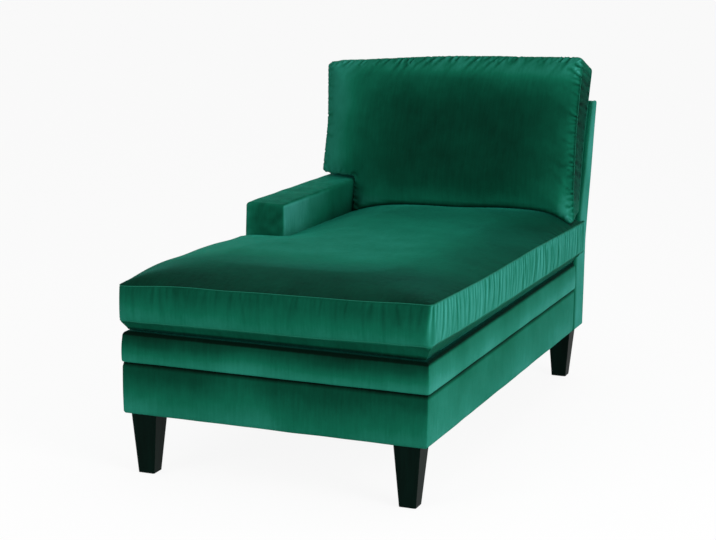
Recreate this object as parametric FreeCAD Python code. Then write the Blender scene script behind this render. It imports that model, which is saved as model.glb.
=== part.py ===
import FreeCAD, Part
import math
import os

# One-armed recamier in millimetres. While it is drawn, X runs across the seat with the arm on -X,
# Y runs from the front plane of the base towards the back, and Z is the height above the floor.

Vector = FreeCAD.Vector

# Overall form
base_width = 815.0
seat_box_length = 1371.0
leg_height = 163.0
band_seam_height = 295.0
deck_height = 373.0
arm_height = 590.0
arm_width = 118.5
arm_setback = 750.0
back_height = 848.0
back_foot_depth = 116.0
back_bend_height = 430.0
inside_lean = math.radians(17.0)
outside_lean = math.radians(10.8)

# Layers of the upholstery
cover = 2.5
band_step = 2.5
lining = 2.5
dust_cloth = 0.8
deck_cloth_thickness = 1.2
play = 0.3
groove = 1.0
arm_top_pad = 15.0
arm_side_pad = 12.2
arm_front_pad = 6.0
back_pad_depth = 12.5

# Softened edges of the fixed upholstery
corner_round = 12.0
back_edge_bevel = 3.5
back_top_round = 12.0
arm_round = 18.0
hem_width = 30.0
band_return = 75.0
edge_roll_width = 30.0
dust_margin = 8.0
deck_line_play = 0.9
lining_drop = 50.0
outside_cover_turn = 39.0

# Timber
rail_thickness = 25.0
rail_drop = 28.0
board_thickness = 20.0
post_thickness = 25.0
cross_rail_height = 80.0
top_rail_height = 75.0
lumbar_rail_height = 75.0
lumbar_rail_lift = 10.0
foot_rail_height = 100.0
arm_post_thickness = 22.0
arm_post_lap = 95.0
arm_rail_height = 70.0
block_length = 80.0
block_height = 45.0

# Legs and the hardware that holds them
leg_foot = 44.0
leg_top = 70.0
leg_edge_bevel = 2.5
leg_side_inset = 54.0
leg_end_inset = 41.0
glide_height = 2.5
glide_radius = 12.0
glide_taper = 0.8
bolt_radius = 4.0
bolt_in_leg = 38.0
bolt_stand_out = 3.0
insert_radius = 6.0
insert_length = 15.0
fit = 0.1

# Bolts between the seat box and the back frame
frame_bolt_columns = 3
frame_bolt_clearance = 26.5
frame_bolt_height = 256.0
hexagon_across = 13.0
bolt_head = 5.3
nut_height = 6.5

# Woven webbing
strap_width = 60.0
strap = 1.2
strap_gap = 0.4
strap_land = 2.0
strap_end = 1.0
lengthwise_strap_count = 4
front_bay_strap_count = 7
arm_bay_strap_count = 5
back_strap_count = 5
back_strap_lap = 45.0

# Loose cushions
cloth = 1.5
overhang = 10.0
cushion_side_play = 1.0
seat_rear_gap = 7.0
seat_underside_depth = 32.0
seat_underside_reach = 34.0
seat_boxing = 103.0
seat_crown = 32.0
seat_crown_reach = 230.0
seat_corner_round = 22.0
notch_round = 12.0
side_draw = 6.0
crown_fullness = 2.6
crown_corner_growth = 0.25
crown_bands = 5
band_spacing = 1.5
underside_bands = 2
corner_steps = 4
draw_steps = 4
back_cushion_sink = 3.7
back_cushion_rise = 110.0
back_boxing = 108.0
back_crown = 66.0
back_crown_share = 0.33
back_corner_round = 24.0
back_rear_bevel = 5.0
back_top_bow = 5.0
zip_bevel = 18.0
zip_bevel_turn = 45.0

# Zips of the two cushion covers
zip_length = 560.0
zip_tape_width = 8.0
zip_ridge_width = 3.0
zip_ridge = 1.2
slider_length = 14.0
slider_width = 9.0
slider_roof = 2.0
tab_length = 26.0
tab_width = 6.0
tab = 1.0
tab_eye_radius = 1.2

# Sizes worked out from those above
half = base_width / 2
under = leg_height + dust_cloth
rail_inset = band_step + cover + play
rail_foot = under + cover
rail_top = deck_height - rail_drop
rail_inner = half - rail_inset - rail_thickness
arm_inner = arm_width - half
back_front = seat_box_length + groove
back_rear = back_front + back_foot_depth
arm_frame_outer = rail_inset - half
arm_frame_inner = arm_inner - cover - play - arm_side_pad
arm_board_inner = arm_frame_inner - lining
arm_frame_front = arm_setback + cover + arm_front_pad
arm_frame_top = arm_height - cover - arm_top_pad
arm_rear_post_end = seat_box_length - rail_thickness
strap_rise = (strap + strap_gap) / 2
strap_middle = rail_top + strap / 2
deck_underside = strap_middle + strap_rise + strap / 2 + play
deck_topside = deck_height - cover
seat_seam_low = deck_height + play + seat_underside_depth
seat_seam_high = seat_seam_low + seat_boxing
back_cushion_seat = (seat_seam_high - back_cushion_sink - back_bend_height) / math.cos(inside_lean)
back_cushion_top = (back_height - back_bend_height) / math.cos(inside_lean) + back_cushion_rise
back_ear_foot = (arm_height - back_bend_height + play) / math.cos(inside_lean) - play * math.tan(inside_lean)
back_crown_reach = back_crown_share * (back_cushion_top - back_ear_foot)
frame_bolt_spread = -2 * (arm_board_inner + frame_bolt_clearance)
far = 3000.0
past = 5.0
margin = 1.0


def box(x0, x1, y0, y1, z0, z1):
    """Block between two corners."""
    return Part.makeBox(x1 - x0, y1 - y0, z1 - z0, Vector(x0, y0, z0))


def side_prism(points, x0, x1):
    """Outline of (y, z) points drawn in the side view and carried across from x0 to x1."""
    corners = [Vector(x0, y, z) for y, z in points]
    face = Part.Face(Part.makePolygon(corners + corners[:1]))
    return face.extrude(Vector(x1 - x0, 0, 0))


def soften(shape, radius, wanted):
    """Fillet of the edges whose middle point passes the test."""
    edges = [e for e in shape.Edges if wanted(e.valueAt((e.FirstParameter + e.LastParameter) / 2))]
    return shape.makeFillet(radius, edges)


def near(value, target):
    """Whether two places are the same."""
    return abs(value - target) < 0.01


def group(solids):
    """Separate solids that share a node."""
    return Part.makeCompound(solids)


def spread(count, start, end):
    """Centres of evenly spaced pieces in a bay."""
    pitch = (end - start) / count
    return [start + pitch * (k + 0.5) for k in range(count)]


def outline(plan, inset, rounds, draws, height, steps):
    """Points round a plan of right-angled corners, given anticlockwise, moved in by an inset. Each
    corner turns through a quarter circle in equal steps, and each side is drawn in at its middle."""
    count = len(plan)
    corners = [Vector(x, y, height) for x, y in plan]
    ways = [(corners[(k + 1) % count] - corners[k]).normalize() for k in range(count)]
    normals = [Vector(-way.y, way.x, 0) for way in ways]
    turns = []
    for k in range(count):
        before, after = normals[k - 1], normals[k]
        convex = ways[k - 1].cross(ways[k]).z > 0
        radius = rounds[0] if convex else -rounds[1]
        centre = corners[k] + (before + after) * (inset + radius)
        quarter = [math.pi / 2 * j / steps for j in range(steps + 1)]
        turns.append([centre - (before * math.cos(a) + after * math.sin(a)) * radius for a in quarter])
    points = []
    for k in range(count):
        points += turns[k]
        if draws[k]:
            start, end = turns[k][-1], turns[(k + 1) % count][0]
            whole = corners[k].distanceToPoint(corners[(k + 1) % count])
            depth = draws[k] * start.distanceToPoint(end) / whole
            for share in [j / draw_steps for j in range(1, draw_steps)]:
                sag = 4 * depth * share * (1 - share)
                points.append(start + (end - start) * share + normals[k] * sag)
    return points


def polygon_face(points):
    """Flat face with straight edges."""
    return Part.Face(Part.makePolygon(list(points) + [points[0]]))


def through(rings):
    """Closed solid through outlines that have as many points each, flat at its two ends."""
    faces = [polygon_face(rings[0]), polygon_face(rings[-1])]
    for low, high in zip(rings, rings[1:]):
        for k in range(len(low)):
            faces.append(polygon_face([low[k - 1], low[k], high[k], high[k - 1]]))
    solid = Part.Solid(Part.Shell(faces))
    if solid.Volume < 0:
        solid.reverse()
    return solid.removeSplitter()


# The leaning face of the back, as a frame of its own: local Y runs up the slope and local Z stands
# out of it towards the front.
lean_frame = FreeCAD.Placement(
    Vector(0, back_front, back_bend_height),
    FreeCAD.Rotation(Vector(1, 0, 0), 90 - math.degrees(inside_lean)),
)


def in_lean(shape):
    """A shape drawn in the leaning frame, put in its place."""
    placed = shape.copy()
    placed.transformShape(lean_frame.toMatrix())
    return placed


def front_line(height, inset=0.0):
    """Y of the leaning inside face at a height."""
    return back_front + inset / math.cos(inside_lean) + (height - back_bend_height) * math.tan(inside_lean)


def rear_line(height, inset=0.0):
    """Y of the leaning outside face at a height."""
    return back_rear - inset / math.cos(outside_lean) + (height - back_bend_height) * math.tan(outside_lean)


def back_outline(front, rear, top, foot):
    """Side outline of the back frame, moved in by an inset on each side."""
    summit = back_height - top
    return [
        (back_front + front, foot),
        (back_front + front, back_bend_height - front * math.tan(inside_lean / 2)),
        (front_line(summit, front), summit),
        (rear_line(summit, rear), summit),
        (back_rear - rear, back_bend_height + rear * math.tan(outside_lean / 2)),
        (back_rear - rear, foot),
    ]


def base_block(inset, foot, top, rolled=False):
    """Block of the seat box with its front corners rounded, and its top edge too where rolled."""
    side = half - inset
    radius = corner_round - inset
    block = box(-side, side, inset, seat_box_length, foot, top)
    block = soften(block, radius, lambda p: near(p.y, inset) and near(abs(p.x), side))
    if rolled:
        block = soften(block, radius, lambda p: near(p.z, top) and p.y < seat_box_length - margin)
    return block


def arm_zone(reach=0.0):
    """Space that belongs to the arm, so that the base covers stop short of it."""
    return box(-half - far, arm_inner + reach, arm_setback - reach, seat_box_length + far, -margin, far)


def base_covers():
    """The lower panel, the upper band, the roll under it, the deck and the dust cover."""
    end = seat_box_length - groove
    beyond = box(-far, far, end, seat_box_length + margin, 0, far)

    lower = base_block(band_step, under, band_seam_height)
    lower = lower.cut(base_block(band_step + cover, rail_foot, band_seam_height + margin))
    hem = half - band_step - hem_width
    opened = box(-hem, hem, band_step + hem_width, seat_box_length + margin, 0, rail_foot + margin)
    lower = lower.cut(opened)
    lower = lower.cut(box(-far, 0, arm_setback, far, 0, far)).cut(beyond)

    band = base_block(0, band_seam_height, deck_height, True)
    band = band.cut(base_block(cover, band_seam_height - margin, deck_topside, True))
    opening = half - band_return
    band = band.cut(box(-opening, opening, band_return, far, deck_topside - margin, far))
    band = band.cut(arm_zone()).cut(beyond)

    roll_foot = band_seam_height + play
    roll = base_block(cover + play, roll_foot, deck_topside - play, True)
    roll = roll.cut(base_block(rail_inset, roll_foot - margin, deck_underside))
    inner = half - edge_roll_width
    roll = roll.cut(box(-inner, inner, edge_roll_width, far, 0, far))
    roll = roll.cut(arm_zone()).cut(beyond)

    pad_side = half - edge_roll_width - play
    pad_top = deck_topside - play
    pad = box(-pad_side, pad_side, edge_roll_width + play, seat_box_length, deck_underside, pad_top)
    pad = pad.cut(arm_zone(play))

    cloth_side = opening - play
    sheet = box(
        -cloth_side, cloth_side, band_return + play, end, deck_topside, deck_topside + deck_cloth_thickness
    )
    sheet = sheet.cut(arm_zone(play))

    dust_side = half - band_step - dust_margin
    dust = box(
        -dust_side, dust_side, band_step + dust_margin, back_rear - dust_margin, leg_height, under
    )
    for x, y in leg_places():
        dust = dust.cut(Part.makeCylinder(bolt_radius + fit, 2 * past, Vector(x, y, leg_height - past)))
    return {
        "lower_base_cover": lower,
        "upper_band_cover": band,
        "deck_edge_roll": roll,
        "deck_pad": pad,
        "deck_cloth": sheet,
        "dust_cover": dust,
    }


def base_timber():
    """Rails of the seat box."""
    form = base_block(rail_inset, rail_foot, rail_top)
    side = half - rail_inset
    front_end = rail_inset + rail_thickness
    rear_start = seat_box_length - rail_thickness
    rails = {
        "front_rail": form.common(box(-side, side, 0, front_end, 0, far)),
        "left_side_rail": form.common(box(-side, -rail_inner, front_end, rear_start, 0, far)),
        "right_side_rail": form.common(box(rail_inner, side, front_end, rear_start, 0, far)),
        "deck_back_rail": form.common(box(-side, side, rear_start, seat_box_length, 0, far)),
    }
    for name, y in zip(("front_cross_rail", "rear_cross_rail"), spread(2, front_end, rear_start)):
        rails[name] = box(
            -rail_inner,
            rail_inner,
            y - rail_thickness / 2,
            y + rail_thickness / 2,
            rail_foot,
            rail_foot + cross_rail_height,
        )
    for x in frame_bolt_places():
        hole = Part.makeCylinder(
            bolt_radius + fit, far, Vector(x, rear_start - past, frame_bolt_height), Vector(0, 1, 0)
        )
        rails["deck_back_rail"] = rails["deck_back_rail"].cut(hole)
    return rails


def woven_strap(start, end, crossings, over_first):
    """Side outline, along and up, of a strap that passes over and under the straps it crosses."""
    line = [(start, 0.0)]
    sign = 1 if over_first else -1
    reach = strap_width / 2 + strap_land
    for place in crossings:
        line += [(place - reach, sign * strap_rise), (place + reach, sign * strap_rise)]
        sign = -sign
    line.append((end, 0.0))
    land = rail_thickness + strap_land
    line[1:1] = [(start + land, 0.0)]
    line[-1:-1] = [(end - land, 0.0)]
    top = [(along, strap_middle + rise + strap / 2) for along, rise in line]
    foot = [(along, strap_middle + rise - strap / 2) for along, rise in reversed(line)]
    return top + foot


def deck_webbing():
    """Webbing tacked to the rails, lengthwise and across, woven through itself."""
    across = spread(front_bay_strap_count, rail_inset + rail_thickness, arm_frame_front)
    arm_bay = (arm_frame_front + arm_post_thickness, arm_rear_post_end - arm_post_thickness)
    across += spread(arm_bay_strap_count, *arm_bay)
    along = spread(lengthwise_strap_count, arm_board_inner, rail_inner)
    width = strap_width / 2
    side = half - rail_inset - strap_end
    long_way = []
    for k, x in enumerate(along):
        points = woven_strap(rail_inset + strap_end, seat_box_length - strap_end, across, k % 2 == 0)
        long_way.append(side_prism(points, x - width, x + width))
    cross_way = []
    for k, y in enumerate(across):
        points = woven_strap(-side, side, along, k % 2 == 1)
        corners = [Vector(x, y - width, z) for x, z in points]
        face = Part.Face(Part.makePolygon(corners + corners[:1]))
        cross_way.append(face.extrude(Vector(0, strap_width, 0)))
    return {"lengthwise_webbing": group(long_way), "crosswise_webbing": group(cross_way)}


def leg_places():
    """Middle of each leg, seen from above: front left, front right, rear left, rear right."""
    x = half - leg_side_inset
    return [(sx * x, y) for y in (leg_end_inset, back_rear - leg_end_inset) for sx in (-1, 1)]


def leg_outline(x, y, size, height):
    """Square with bevelled corners round a leg's axis."""
    reach = size / 2
    plan = [(x + sx * reach, y + sy * reach) for sx, sy in ((-1, -1), (1, -1), (1, 1), (-1, 1))]
    return outline(plan, 0, (leg_edge_bevel, 0), [0] * 4, height, 1)


def legs():
    """Four tapered legs with their glides, hanger bolts, corner blocks and threaded inserts."""
    names = ("front_left", "front_right", "rear_left", "rear_right")
    nodes, glides, bolts, inserts = {}, [], [], []
    for name, (x, y) in zip(names, leg_places()):
        leg = through([leg_outline(x, y, leg_foot, glide_height), leg_outline(x, y, leg_top, leg_height)])
        bolt_end = Vector(x, y, leg_height - bolt_in_leg)
        leg = leg.cut(Part.makeCylinder(bolt_radius + fit, bolt_in_leg, bolt_end))
        nodes["leg_" + name] = leg

        glides.append(Part.makeCone(glide_radius - glide_taper, glide_radius, glide_height, Vector(x, y, 0)))

        rear = y > seat_box_length
        foot_height = under if rear else rail_foot
        block_top = foot_height + block_height
        if rear:
            inner_x = half - cover - play - post_thickness
            y0, y1 = seat_box_length + rail_thickness, back_rear - cover - play - lining - rail_thickness
        else:
            inner_x = rail_inner
            y0 = rail_inset + rail_thickness
            y1 = y0 + block_length
        x0, x1 = sorted((math.copysign(inner_x, x), math.copysign(inner_x - block_length, x)))
        block = box(x0, x1, y0, y1, foot_height, block_top)
        block = block.cut(Part.makeCylinder(insert_radius + fit, far, Vector(x, y, 0)))
        nodes["corner_block_" + name] = block

        insert = Part.makeCylinder(insert_radius, insert_length, Vector(x, y, block_top - insert_length))
        inserts.append(insert.cut(Part.makeCylinder(bolt_radius + fit, far, Vector(x, y, 0))))
        length = block_top + bolt_stand_out - leg_height + bolt_in_leg
        bolts.append(Part.makeCylinder(bolt_radius, length, bolt_end))
    nodes["leg_glides"] = group(glides)
    nodes["leg_hanger_bolts"] = group(bolts)
    nodes["leg_threaded_inserts"] = group(inserts)
    return nodes


def frame_bolt_places():
    """Places across the width of the bolts that hold the back frame."""
    step = frame_bolt_spread / (frame_bolt_columns - 1)
    return [k * step - frame_bolt_spread / 2 for k in range(frame_bolt_columns)]


def hexagon(centre, length):
    """Hexagonal prism that runs backwards from the centre of its front face."""
    reach = hexagon_across / math.sqrt(3)
    angles = [math.radians(60 * k) for k in range(6)]
    face = polygon_face([centre + Vector(math.cos(a), 0, math.sin(a)) * reach for a in angles])
    return face.extrude(Vector(0, length, 0))


def frame_bolts():
    """Hexagon bolts through the two rails that meet, with their nuts behind."""
    head_face = seat_box_length - rail_thickness
    nut_face = seat_box_length + rail_thickness
    backwards = Vector(0, 1, 0)
    bolts, nuts = [], []
    for x in frame_bolt_places():
        start = Vector(x, head_face, frame_bolt_height)
        shank_length = nut_face - head_face + nut_height + bolt_stand_out
        shank = Part.makeCylinder(bolt_radius, shank_length, start, backwards)
        bolts.append(hexagon(start - backwards * bolt_head, bolt_head).fuse(shank))
        nut = hexagon(Vector(x, nut_face, frame_bolt_height), nut_height)
        nuts.append(nut.cut(Part.makeCylinder(bolt_radius + fit, far, start, backwards)))
    return {"back_frame_bolts": group(bolts), "back_frame_nuts": group(nuts)}


def back_timber():
    """Posts cut to the leaning profile, and the rails between them."""
    skin = cover + play
    rear = skin + lining
    face = cover + play + back_pad_depth
    rail_face = face + strap
    side = half - skin
    inner = side - post_thickness
    post = side_prism(back_outline(face, rear, face, under), 0, post_thickness)
    foot_end = seat_box_length + face + groove + margin
    notch = box(-margin, post_thickness + margin, 0, foot_end, 0, rail_top)
    foot = box(0, post_thickness, seat_box_length, foot_end + margin, under, rail_top)
    post = post.cut(notch).fuse(foot).removeSplitter()
    left, right = post.copy(), post.copy()
    left.translate(Vector(-side, 0, 0))
    right.translate(Vector(inner, 0, 0))

    body = side_prism(back_outline(rail_face, rear, face, under), -inner, inner)
    summit = back_height - face
    top_rail = body.common(box(-far, far, 0, far, summit - top_rail_height, far))
    lumbar_foot = back_bend_height + lumbar_rail_lift
    lumbar = body.common(box(-far, far, 0, far, lumbar_foot, lumbar_foot + lumbar_rail_height))
    lumbar = lumbar.cut(behind_lean(rail_face + rail_thickness))

    foot_front = box(-inner, inner, seat_box_length, seat_box_length + rail_thickness, under, rail_top)
    for x in frame_bolt_places():
        start = Vector(x, seat_box_length - past, frame_bolt_height)
        foot_front = foot_front.cut(Part.makeCylinder(bolt_radius + fit, far, start, Vector(0, 1, 0)))
    rear_face = back_rear - rear
    foot_rear = box(-inner, inner, rear_face - rail_thickness, rear_face, under, under + foot_rail_height)
    return {
        "back_left_post": left,
        "back_right_post": right,
        "back_top_rail": top_rail,
        "back_lumbar_rail": lumbar,
        "back_front_foot_rail": foot_front,
        "back_rear_foot_rail": foot_rear,
    }


def back_upholstery():
    """Webbing, pad, lining board and covers of the back frame."""
    skin = cover + play
    face = skin + back_pad_depth
    side = half - skin
    inner = side - post_thickness

    start = (lumbar_rail_lift + lumbar_rail_height - back_strap_lap) / math.cos(inside_lean)
    summit = (back_height - face - top_rail_height - back_bend_height) / math.cos(inside_lean)
    straps = []
    for x in spread(back_strap_count, -inner, inner):
        left, right = x - strap_width / 2, x + strap_width / 2
        strip = box(left, right, start, summit + back_strap_lap, -face - strap, -face)
        straps.append(in_lean(strip))

    deck_line = deck_height + deck_line_play
    pad = side_prism(back_outline(skin, rear_pad_inset(), skin, deck_line), -side, side)
    pad = soften(pad, back_top_round - skin, lambda p: near(p.z, back_height - skin) and near(p.x, 0))
    pad = pad.cut(side_prism(back_outline(face, -far, face, 0), -far, far))

    rear_points = back_outline(0, skin, lining_drop, rail_foot)[3:]
    rear_points += back_outline(0, skin + lining, lining_drop, rail_foot)[:2:-1]
    board = side_prism(rear_points, -side, side)

    shell = back_block(0, back_edge_bevel, back_top_round)
    shell = shell.cut(back_block(cover, 0, back_top_round - cover))
    seam = half - back_edge_bevel
    behind_deck = box(cover - half, half - cover, 0, back_front + face, 0, deck_line)
    shell = shell.cut(behind_deck)
    right = shell.common(box(seam, far, 0, far, 0, far))
    left = shell.common(box(-far, -seam, 0, far, 0, far))
    middle = shell.common(box(-seam, seam, 0, far, 0, far))
    turn = back_height - back_top_round - cover
    rear_zone = side_prism(back_outline(outside_cover_turn, -far, 0, 0), -far, far)
    rear_zone = rear_zone.common(box(-far, far, 0, far, 0, turn))
    outside = middle.common(rear_zone)
    inside = middle.cut(rear_zone)
    return {
        "back_webbing": group(straps),
        "back_pad": pad,
        "outside_back_lining": board,
        "inside_back_cover": inside,
        "outside_back_cover": outside,
        "left_back_side_cover": left,
        "right_back_side_cover": right,
    }


def rear_pad_inset():
    """Inset of the pad from the outside face, where it turns over the top rail."""
    return cover + play + lining


def back_block(inset, bevel, top_round):
    """Block of the back frame, open at its foot, with rounded top edges and bevelled side edges."""
    side = half - inset
    foot = under - 2 * inset
    block = side_prism(back_outline(inset, inset, inset, foot), -side, side)
    block = soften(block, top_round, lambda p: near(p.z, back_height - inset) and near(p.x, 0))
    if bevel:
        rims = [e for e in block.Edges if on_rim(e, side, foot)]
        block = block.makeChamfer(bevel, rims)
    return block


def on_rim(edge, side, foot):
    """Whether an edge runs round a side face of the back, above its foot."""
    middle = edge.valueAt((edge.FirstParameter + edge.LastParameter) / 2)
    return near(abs(middle.x), side) and middle.z > foot + past


def arm_block(inset, foot, radius):
    """Block of the arm up to the leaning back, with its top and front edges rounded."""
    top = arm_height - inset
    points = [
        (arm_setback + inset, foot),
        (arm_setback + inset, top),
        (front_line(top) - play, top),
        (back_front - play, back_bend_height),
        (back_front - play, foot),
    ]
    left, right = inset - half, arm_inner - inset
    block = side_prism(points, left, right)
    if not radius:
        return block

    def rounded(p):
        on_side = near(p.x, left) or near(p.x, right)
        upper = near(p.z, top) and p.y < front_line(top) - margin
        forward = near(p.y, arm_setback + inset) and p.z > foot + margin
        return (upper and (on_side or forward)) or (forward and on_side)

    return soften(block, radius, rounded)


def arm():
    """The arm's frame, lining, pad and covers."""
    within = arm_block(cover + play, 0, arm_round - cover - play)
    above_bend = box(-far, far, 0, far, back_bend_height, far)
    width = (arm_frame_outer, arm_board_inner)
    posts = []
    rear_post = arm_rear_post_end - arm_post_thickness
    for y in (arm_frame_front, rear_post):
        upper = box(*width, y, y + arm_post_thickness, rail_top, arm_frame_top - board_thickness)
        lap = box(-rail_inner, arm_board_inner, y, y + arm_post_thickness, rail_top - arm_post_lap, rail_top)
        posts.append(upper.fuse(lap).removeSplitter().common(within))
    top_board = box(*width, arm_frame_front, far, arm_frame_top - board_thickness, arm_frame_top)
    rail_seat = deck_height + deck_line_play
    inner_rail = box(
        arm_board_inner - board_thickness,
        arm_board_inner,
        arm_frame_front + arm_post_thickness,
        rear_post,
        rail_seat,
        rail_seat + arm_rail_height,
    )
    inner_board = box(arm_board_inner, arm_frame_inner, arm_frame_front, far, rail_seat, arm_frame_top)
    end = seat_box_length - groove
    outer_side = cover + play - half
    outer_board = box(outer_side, arm_frame_outer, arm_setback + 2 * cover, far, rail_foot, arm_frame_top)
    outer_board = outer_board.common(box(-far, far, 0, end, 0, back_bend_height).fuse(above_bend))

    pad = arm_block(cover + play, rail_seat, arm_round - cover - play)
    pad = pad.cut(box(-far, arm_frame_inner, arm_frame_front, far, 0, arm_frame_top))

    skin = arm_block(0, deck_height + play, arm_round)
    skin = skin.cut(arm_block(cover, 0, arm_round - cover))
    panel_top = arm_height - arm_round
    panel_front = arm_setback + arm_round
    skin = skin.cut(box(-far, cover - half, panel_front, far, 0, panel_top))
    outer = side_prism(
        [
            (arm_setback, under),
            (arm_setback, deck_height),
            (panel_front + play, deck_height),
            (panel_front + play, panel_top - play),
            (front_line(panel_top) - groove, panel_top - play),
            (end, back_bend_height),
            (end, under),
        ],
        -half,
        cover - half,
    )
    hem = box(-half, hem_width - half, arm_setback + play, end, under, rail_foot)
    outer = outer.fuse(hem).removeSplitter()
    return {
        "arm_front_post": posts[0],
        "arm_rear_post": posts[1],
        "arm_top_board": top_board.common(within),
        "arm_inner_rail": inner_rail,
        "arm_inner_lining": inner_board.common(within),
        "arm_outer_lining": outer_board.common(within),
        "arm_pad": pad,
        "arm_cover": skin,
        "outside_arm_cover": outer,
    }


def dome(reach, rise, seam, sign, bands):
    """Profile of a crown: it leaves the seam steeply and levels out."""
    shares = [(k / bands) ** band_spacing for k in range(bands + 1)]
    return [(reach * t, seam + sign * rise * (1 - (1 - t) ** crown_fullness)) for t in shares]


def cushion_rings(plan, rounds, draws, profile, shrink, lift):
    """Outlines at the (inset, height) points of a profile, moved in by a skin. The corners grow
    rounder as the crown draws in."""
    round_out, round_in = rounds
    rings = []
    for inset, height in profile:
        turn = round_out + crown_corner_growth * inset - shrink
        rings.append(
            outline(plan, inset + shrink, (turn, round_in + shrink), draws, height + lift, corner_steps)
        )
    return rings


def behind_lean(inset):
    """Space behind the inside face of the back, moved back by an inset."""
    return side_prism(back_outline(inset, -far, -far, -far), -far, far)


def seat_plan():
    """Plan of the T-shaped seat cushion, from its front left corner, before its rear is trimmed."""
    side = half + overhang
    rear = front_line(seat_seam_high, -seat_rear_gap)
    beside_arm = arm_inner + cushion_side_play
    before_arm = arm_setback - cushion_side_play
    return [
        (-side, -overhang),
        (side, -overhang),
        (side, rear),
        (beside_arm, rear),
        (beside_arm, before_arm),
        (-side, before_arm),
    ]


def seat_rings(shrink):
    """Outlines of the seat cushion's underside, boxing and crown, moved in by a skin."""
    draws = [side_draw, side_draw, 0, 0, 0, side_draw]
    rounds = (seat_corner_round, notch_round)
    low = dome(seat_underside_reach, seat_underside_depth, seat_seam_low, -1, underside_bands)
    high = dome(seat_crown_reach, seat_crown, seat_seam_high, 1, crown_bands)
    underside = cushion_rings(seat_plan(), rounds, draws, low[::-1], shrink, shrink)
    crown = cushion_rings(seat_plan(), rounds, draws, high, shrink, -shrink)
    return underside, crown


def trimmed_seat(rings, shrink):
    """Part of the seat cushion, trimmed to the leaning back and pressed by the cushion on it."""
    press = in_lean(box(-far, far, back_cushion_seat - play - shrink, far, -far, far))
    return through(rings).cut(behind_lean(-seat_rear_gap - shrink)).cut(press)


def back_plan():
    """Face of the back cushion in the leaning frame. Its ear stands over the arm."""
    beside_arm = arm_inner + cushion_side_play
    return [
        (beside_arm, back_cushion_seat),
        (half, back_cushion_seat),
        (half, back_cushion_top),
        (-half, back_cushion_top),
        (-half, back_ear_foot),
        (beside_arm, back_ear_foot),
    ]


def back_body(shrink):
    """The back cushion as one solid, moved in by a skin, in the leaning frame."""
    draws = [0, side_draw / 2, -back_top_bow, side_draw / 2, 0, 0]
    rounds = (back_corner_round, notch_round)
    rear = [(back_rear_bevel, play), (0, play + back_rear_bevel)]
    front = dome(back_crown_reach, back_crown, play + back_boxing, 1, crown_bands)
    rings = cushion_rings(back_plan(), rounds, draws, rear, shrink, shrink)
    rings += cushion_rings(back_plan(), rounds, draws, front, shrink, -shrink)
    return in_lean(through(rings))


def zip_frame(s, n, turn):
    """Frame of a zip: X along it, Z out of the cover, at a place of the leaning frame."""
    place = lean_frame.multVec(Vector((arm_inner + half) / 2, s, n))
    return FreeCAD.Placement(place, FreeCAD.Rotation(Vector(1, 0, 0), turn - math.degrees(inside_lean)))


def placed(shape, frame):
    """A shape drawn in a frame, put in its place."""
    moved = shape.copy()
    moved.transformShape(frame.toMatrix())
    return moved


def zip_slot(frame):
    """Opening in the cover that the tape fills."""
    length, width = zip_length / 2, zip_tape_width / 2
    return placed(box(-length, length, -width, width, -cloth - play / 2, margin), frame)


def zip_tape(frame):
    """Tape with its closed row of teeth."""
    length, width = zip_length / 2 - play, zip_tape_width / 2 - play
    ridge = zip_ridge_width / 2
    tape = box(-length, length, -width, width, -cloth, 0)
    return placed(tape.fuse(box(-length, length, -ridge, ridge, 0, zip_ridge)).removeSplitter(), frame)


def zip_slider(frame):
    """Slider that straddles the teeth, with its pull tab lying along the zip."""
    start = play - zip_length / 2 + slider_length / 2
    width = slider_width / 2
    top = zip_ridge + play + slider_roof
    body = box(start - slider_length / 2, start + slider_length / 2, -width, width, play, top)
    channel = zip_ridge_width / 2 + play
    body = body.cut(box(-far, far, -channel, channel, 0, zip_ridge + play))
    pull = box(start, start + tab_length, -tab_width / 2, tab_width / 2, top, top + tab)
    eye = Part.makeCylinder(tab_eye_radius, 2 * tab, Vector(start + tab_length - tab_width / 2, 0, top))
    return placed(body.fuse(pull.cut(eye)).removeSplitter(), frame)


def seat_cushion():
    """Cover, foam core, fibre layers and zip of the seat cushion."""
    slope = (seat_seam_high - back_bend_height) / math.cos(inside_lean)
    frame = zip_frame(slope / 2, seat_rear_gap, -90)

    def whole(shrink):
        underside, crown = seat_rings(shrink)
        return trimmed_seat(underside + crown, shrink)

    inside = cloth + play
    underside, crown = seat_rings(inside)
    return {
        "seat_cushion_cover": whole(0).cut(whole(cloth)).cut(zip_slot(frame)),
        "seat_cushion_foam": trimmed_seat([underside[-1], crown[0]], inside),
        "seat_cushion_lower_fibre": trimmed_seat(underside, inside),
        "seat_cushion_upper_fibre": trimmed_seat(crown, inside),
        "seat_cushion_zip": zip_tape(frame),
        "seat_cushion_zip_slider": zip_slider(frame),
    }


def back_cushion():
    """Cover, fibre insert and zip of the back cushion."""
    frame = zip_frame(back_cushion_seat + zip_bevel / 2, play + zip_bevel / 2, -90 - zip_bevel_turn)

    def bevelled(shrink):
        corner = placed(box(-far, far, -far, far, -shrink, far), frame)
        return back_body(shrink).cut(corner)

    skin = bevelled(0).cut(bevelled(cloth))
    return {
        "back_cushion_cover": skin.cut(zip_slot(frame)),
        "back_cushion_insert": bevelled(cloth + play),
        "back_cushion_zip": zip_tape(frame),
        "back_cushion_zip_slider": zip_slider(frame),
    }


def build():
    """Every node by name, with the origin on the floor under the middle of the whole."""
    nodes = {}
    for section in (
        base_covers,
        base_timber,
        deck_webbing,
        legs,
        frame_bolts,
        back_timber,
        back_upholstery,
        arm,
        seat_cushion,
        back_cushion,
    ):
        nodes.update(section())
    front = -overhang
    rear = rear_line(back_height)
    middle = (front + rear) / 2
    for shape in nodes.values():
        shape.translate(Vector(0, -middle, 0))
    return nodes, middle


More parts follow.
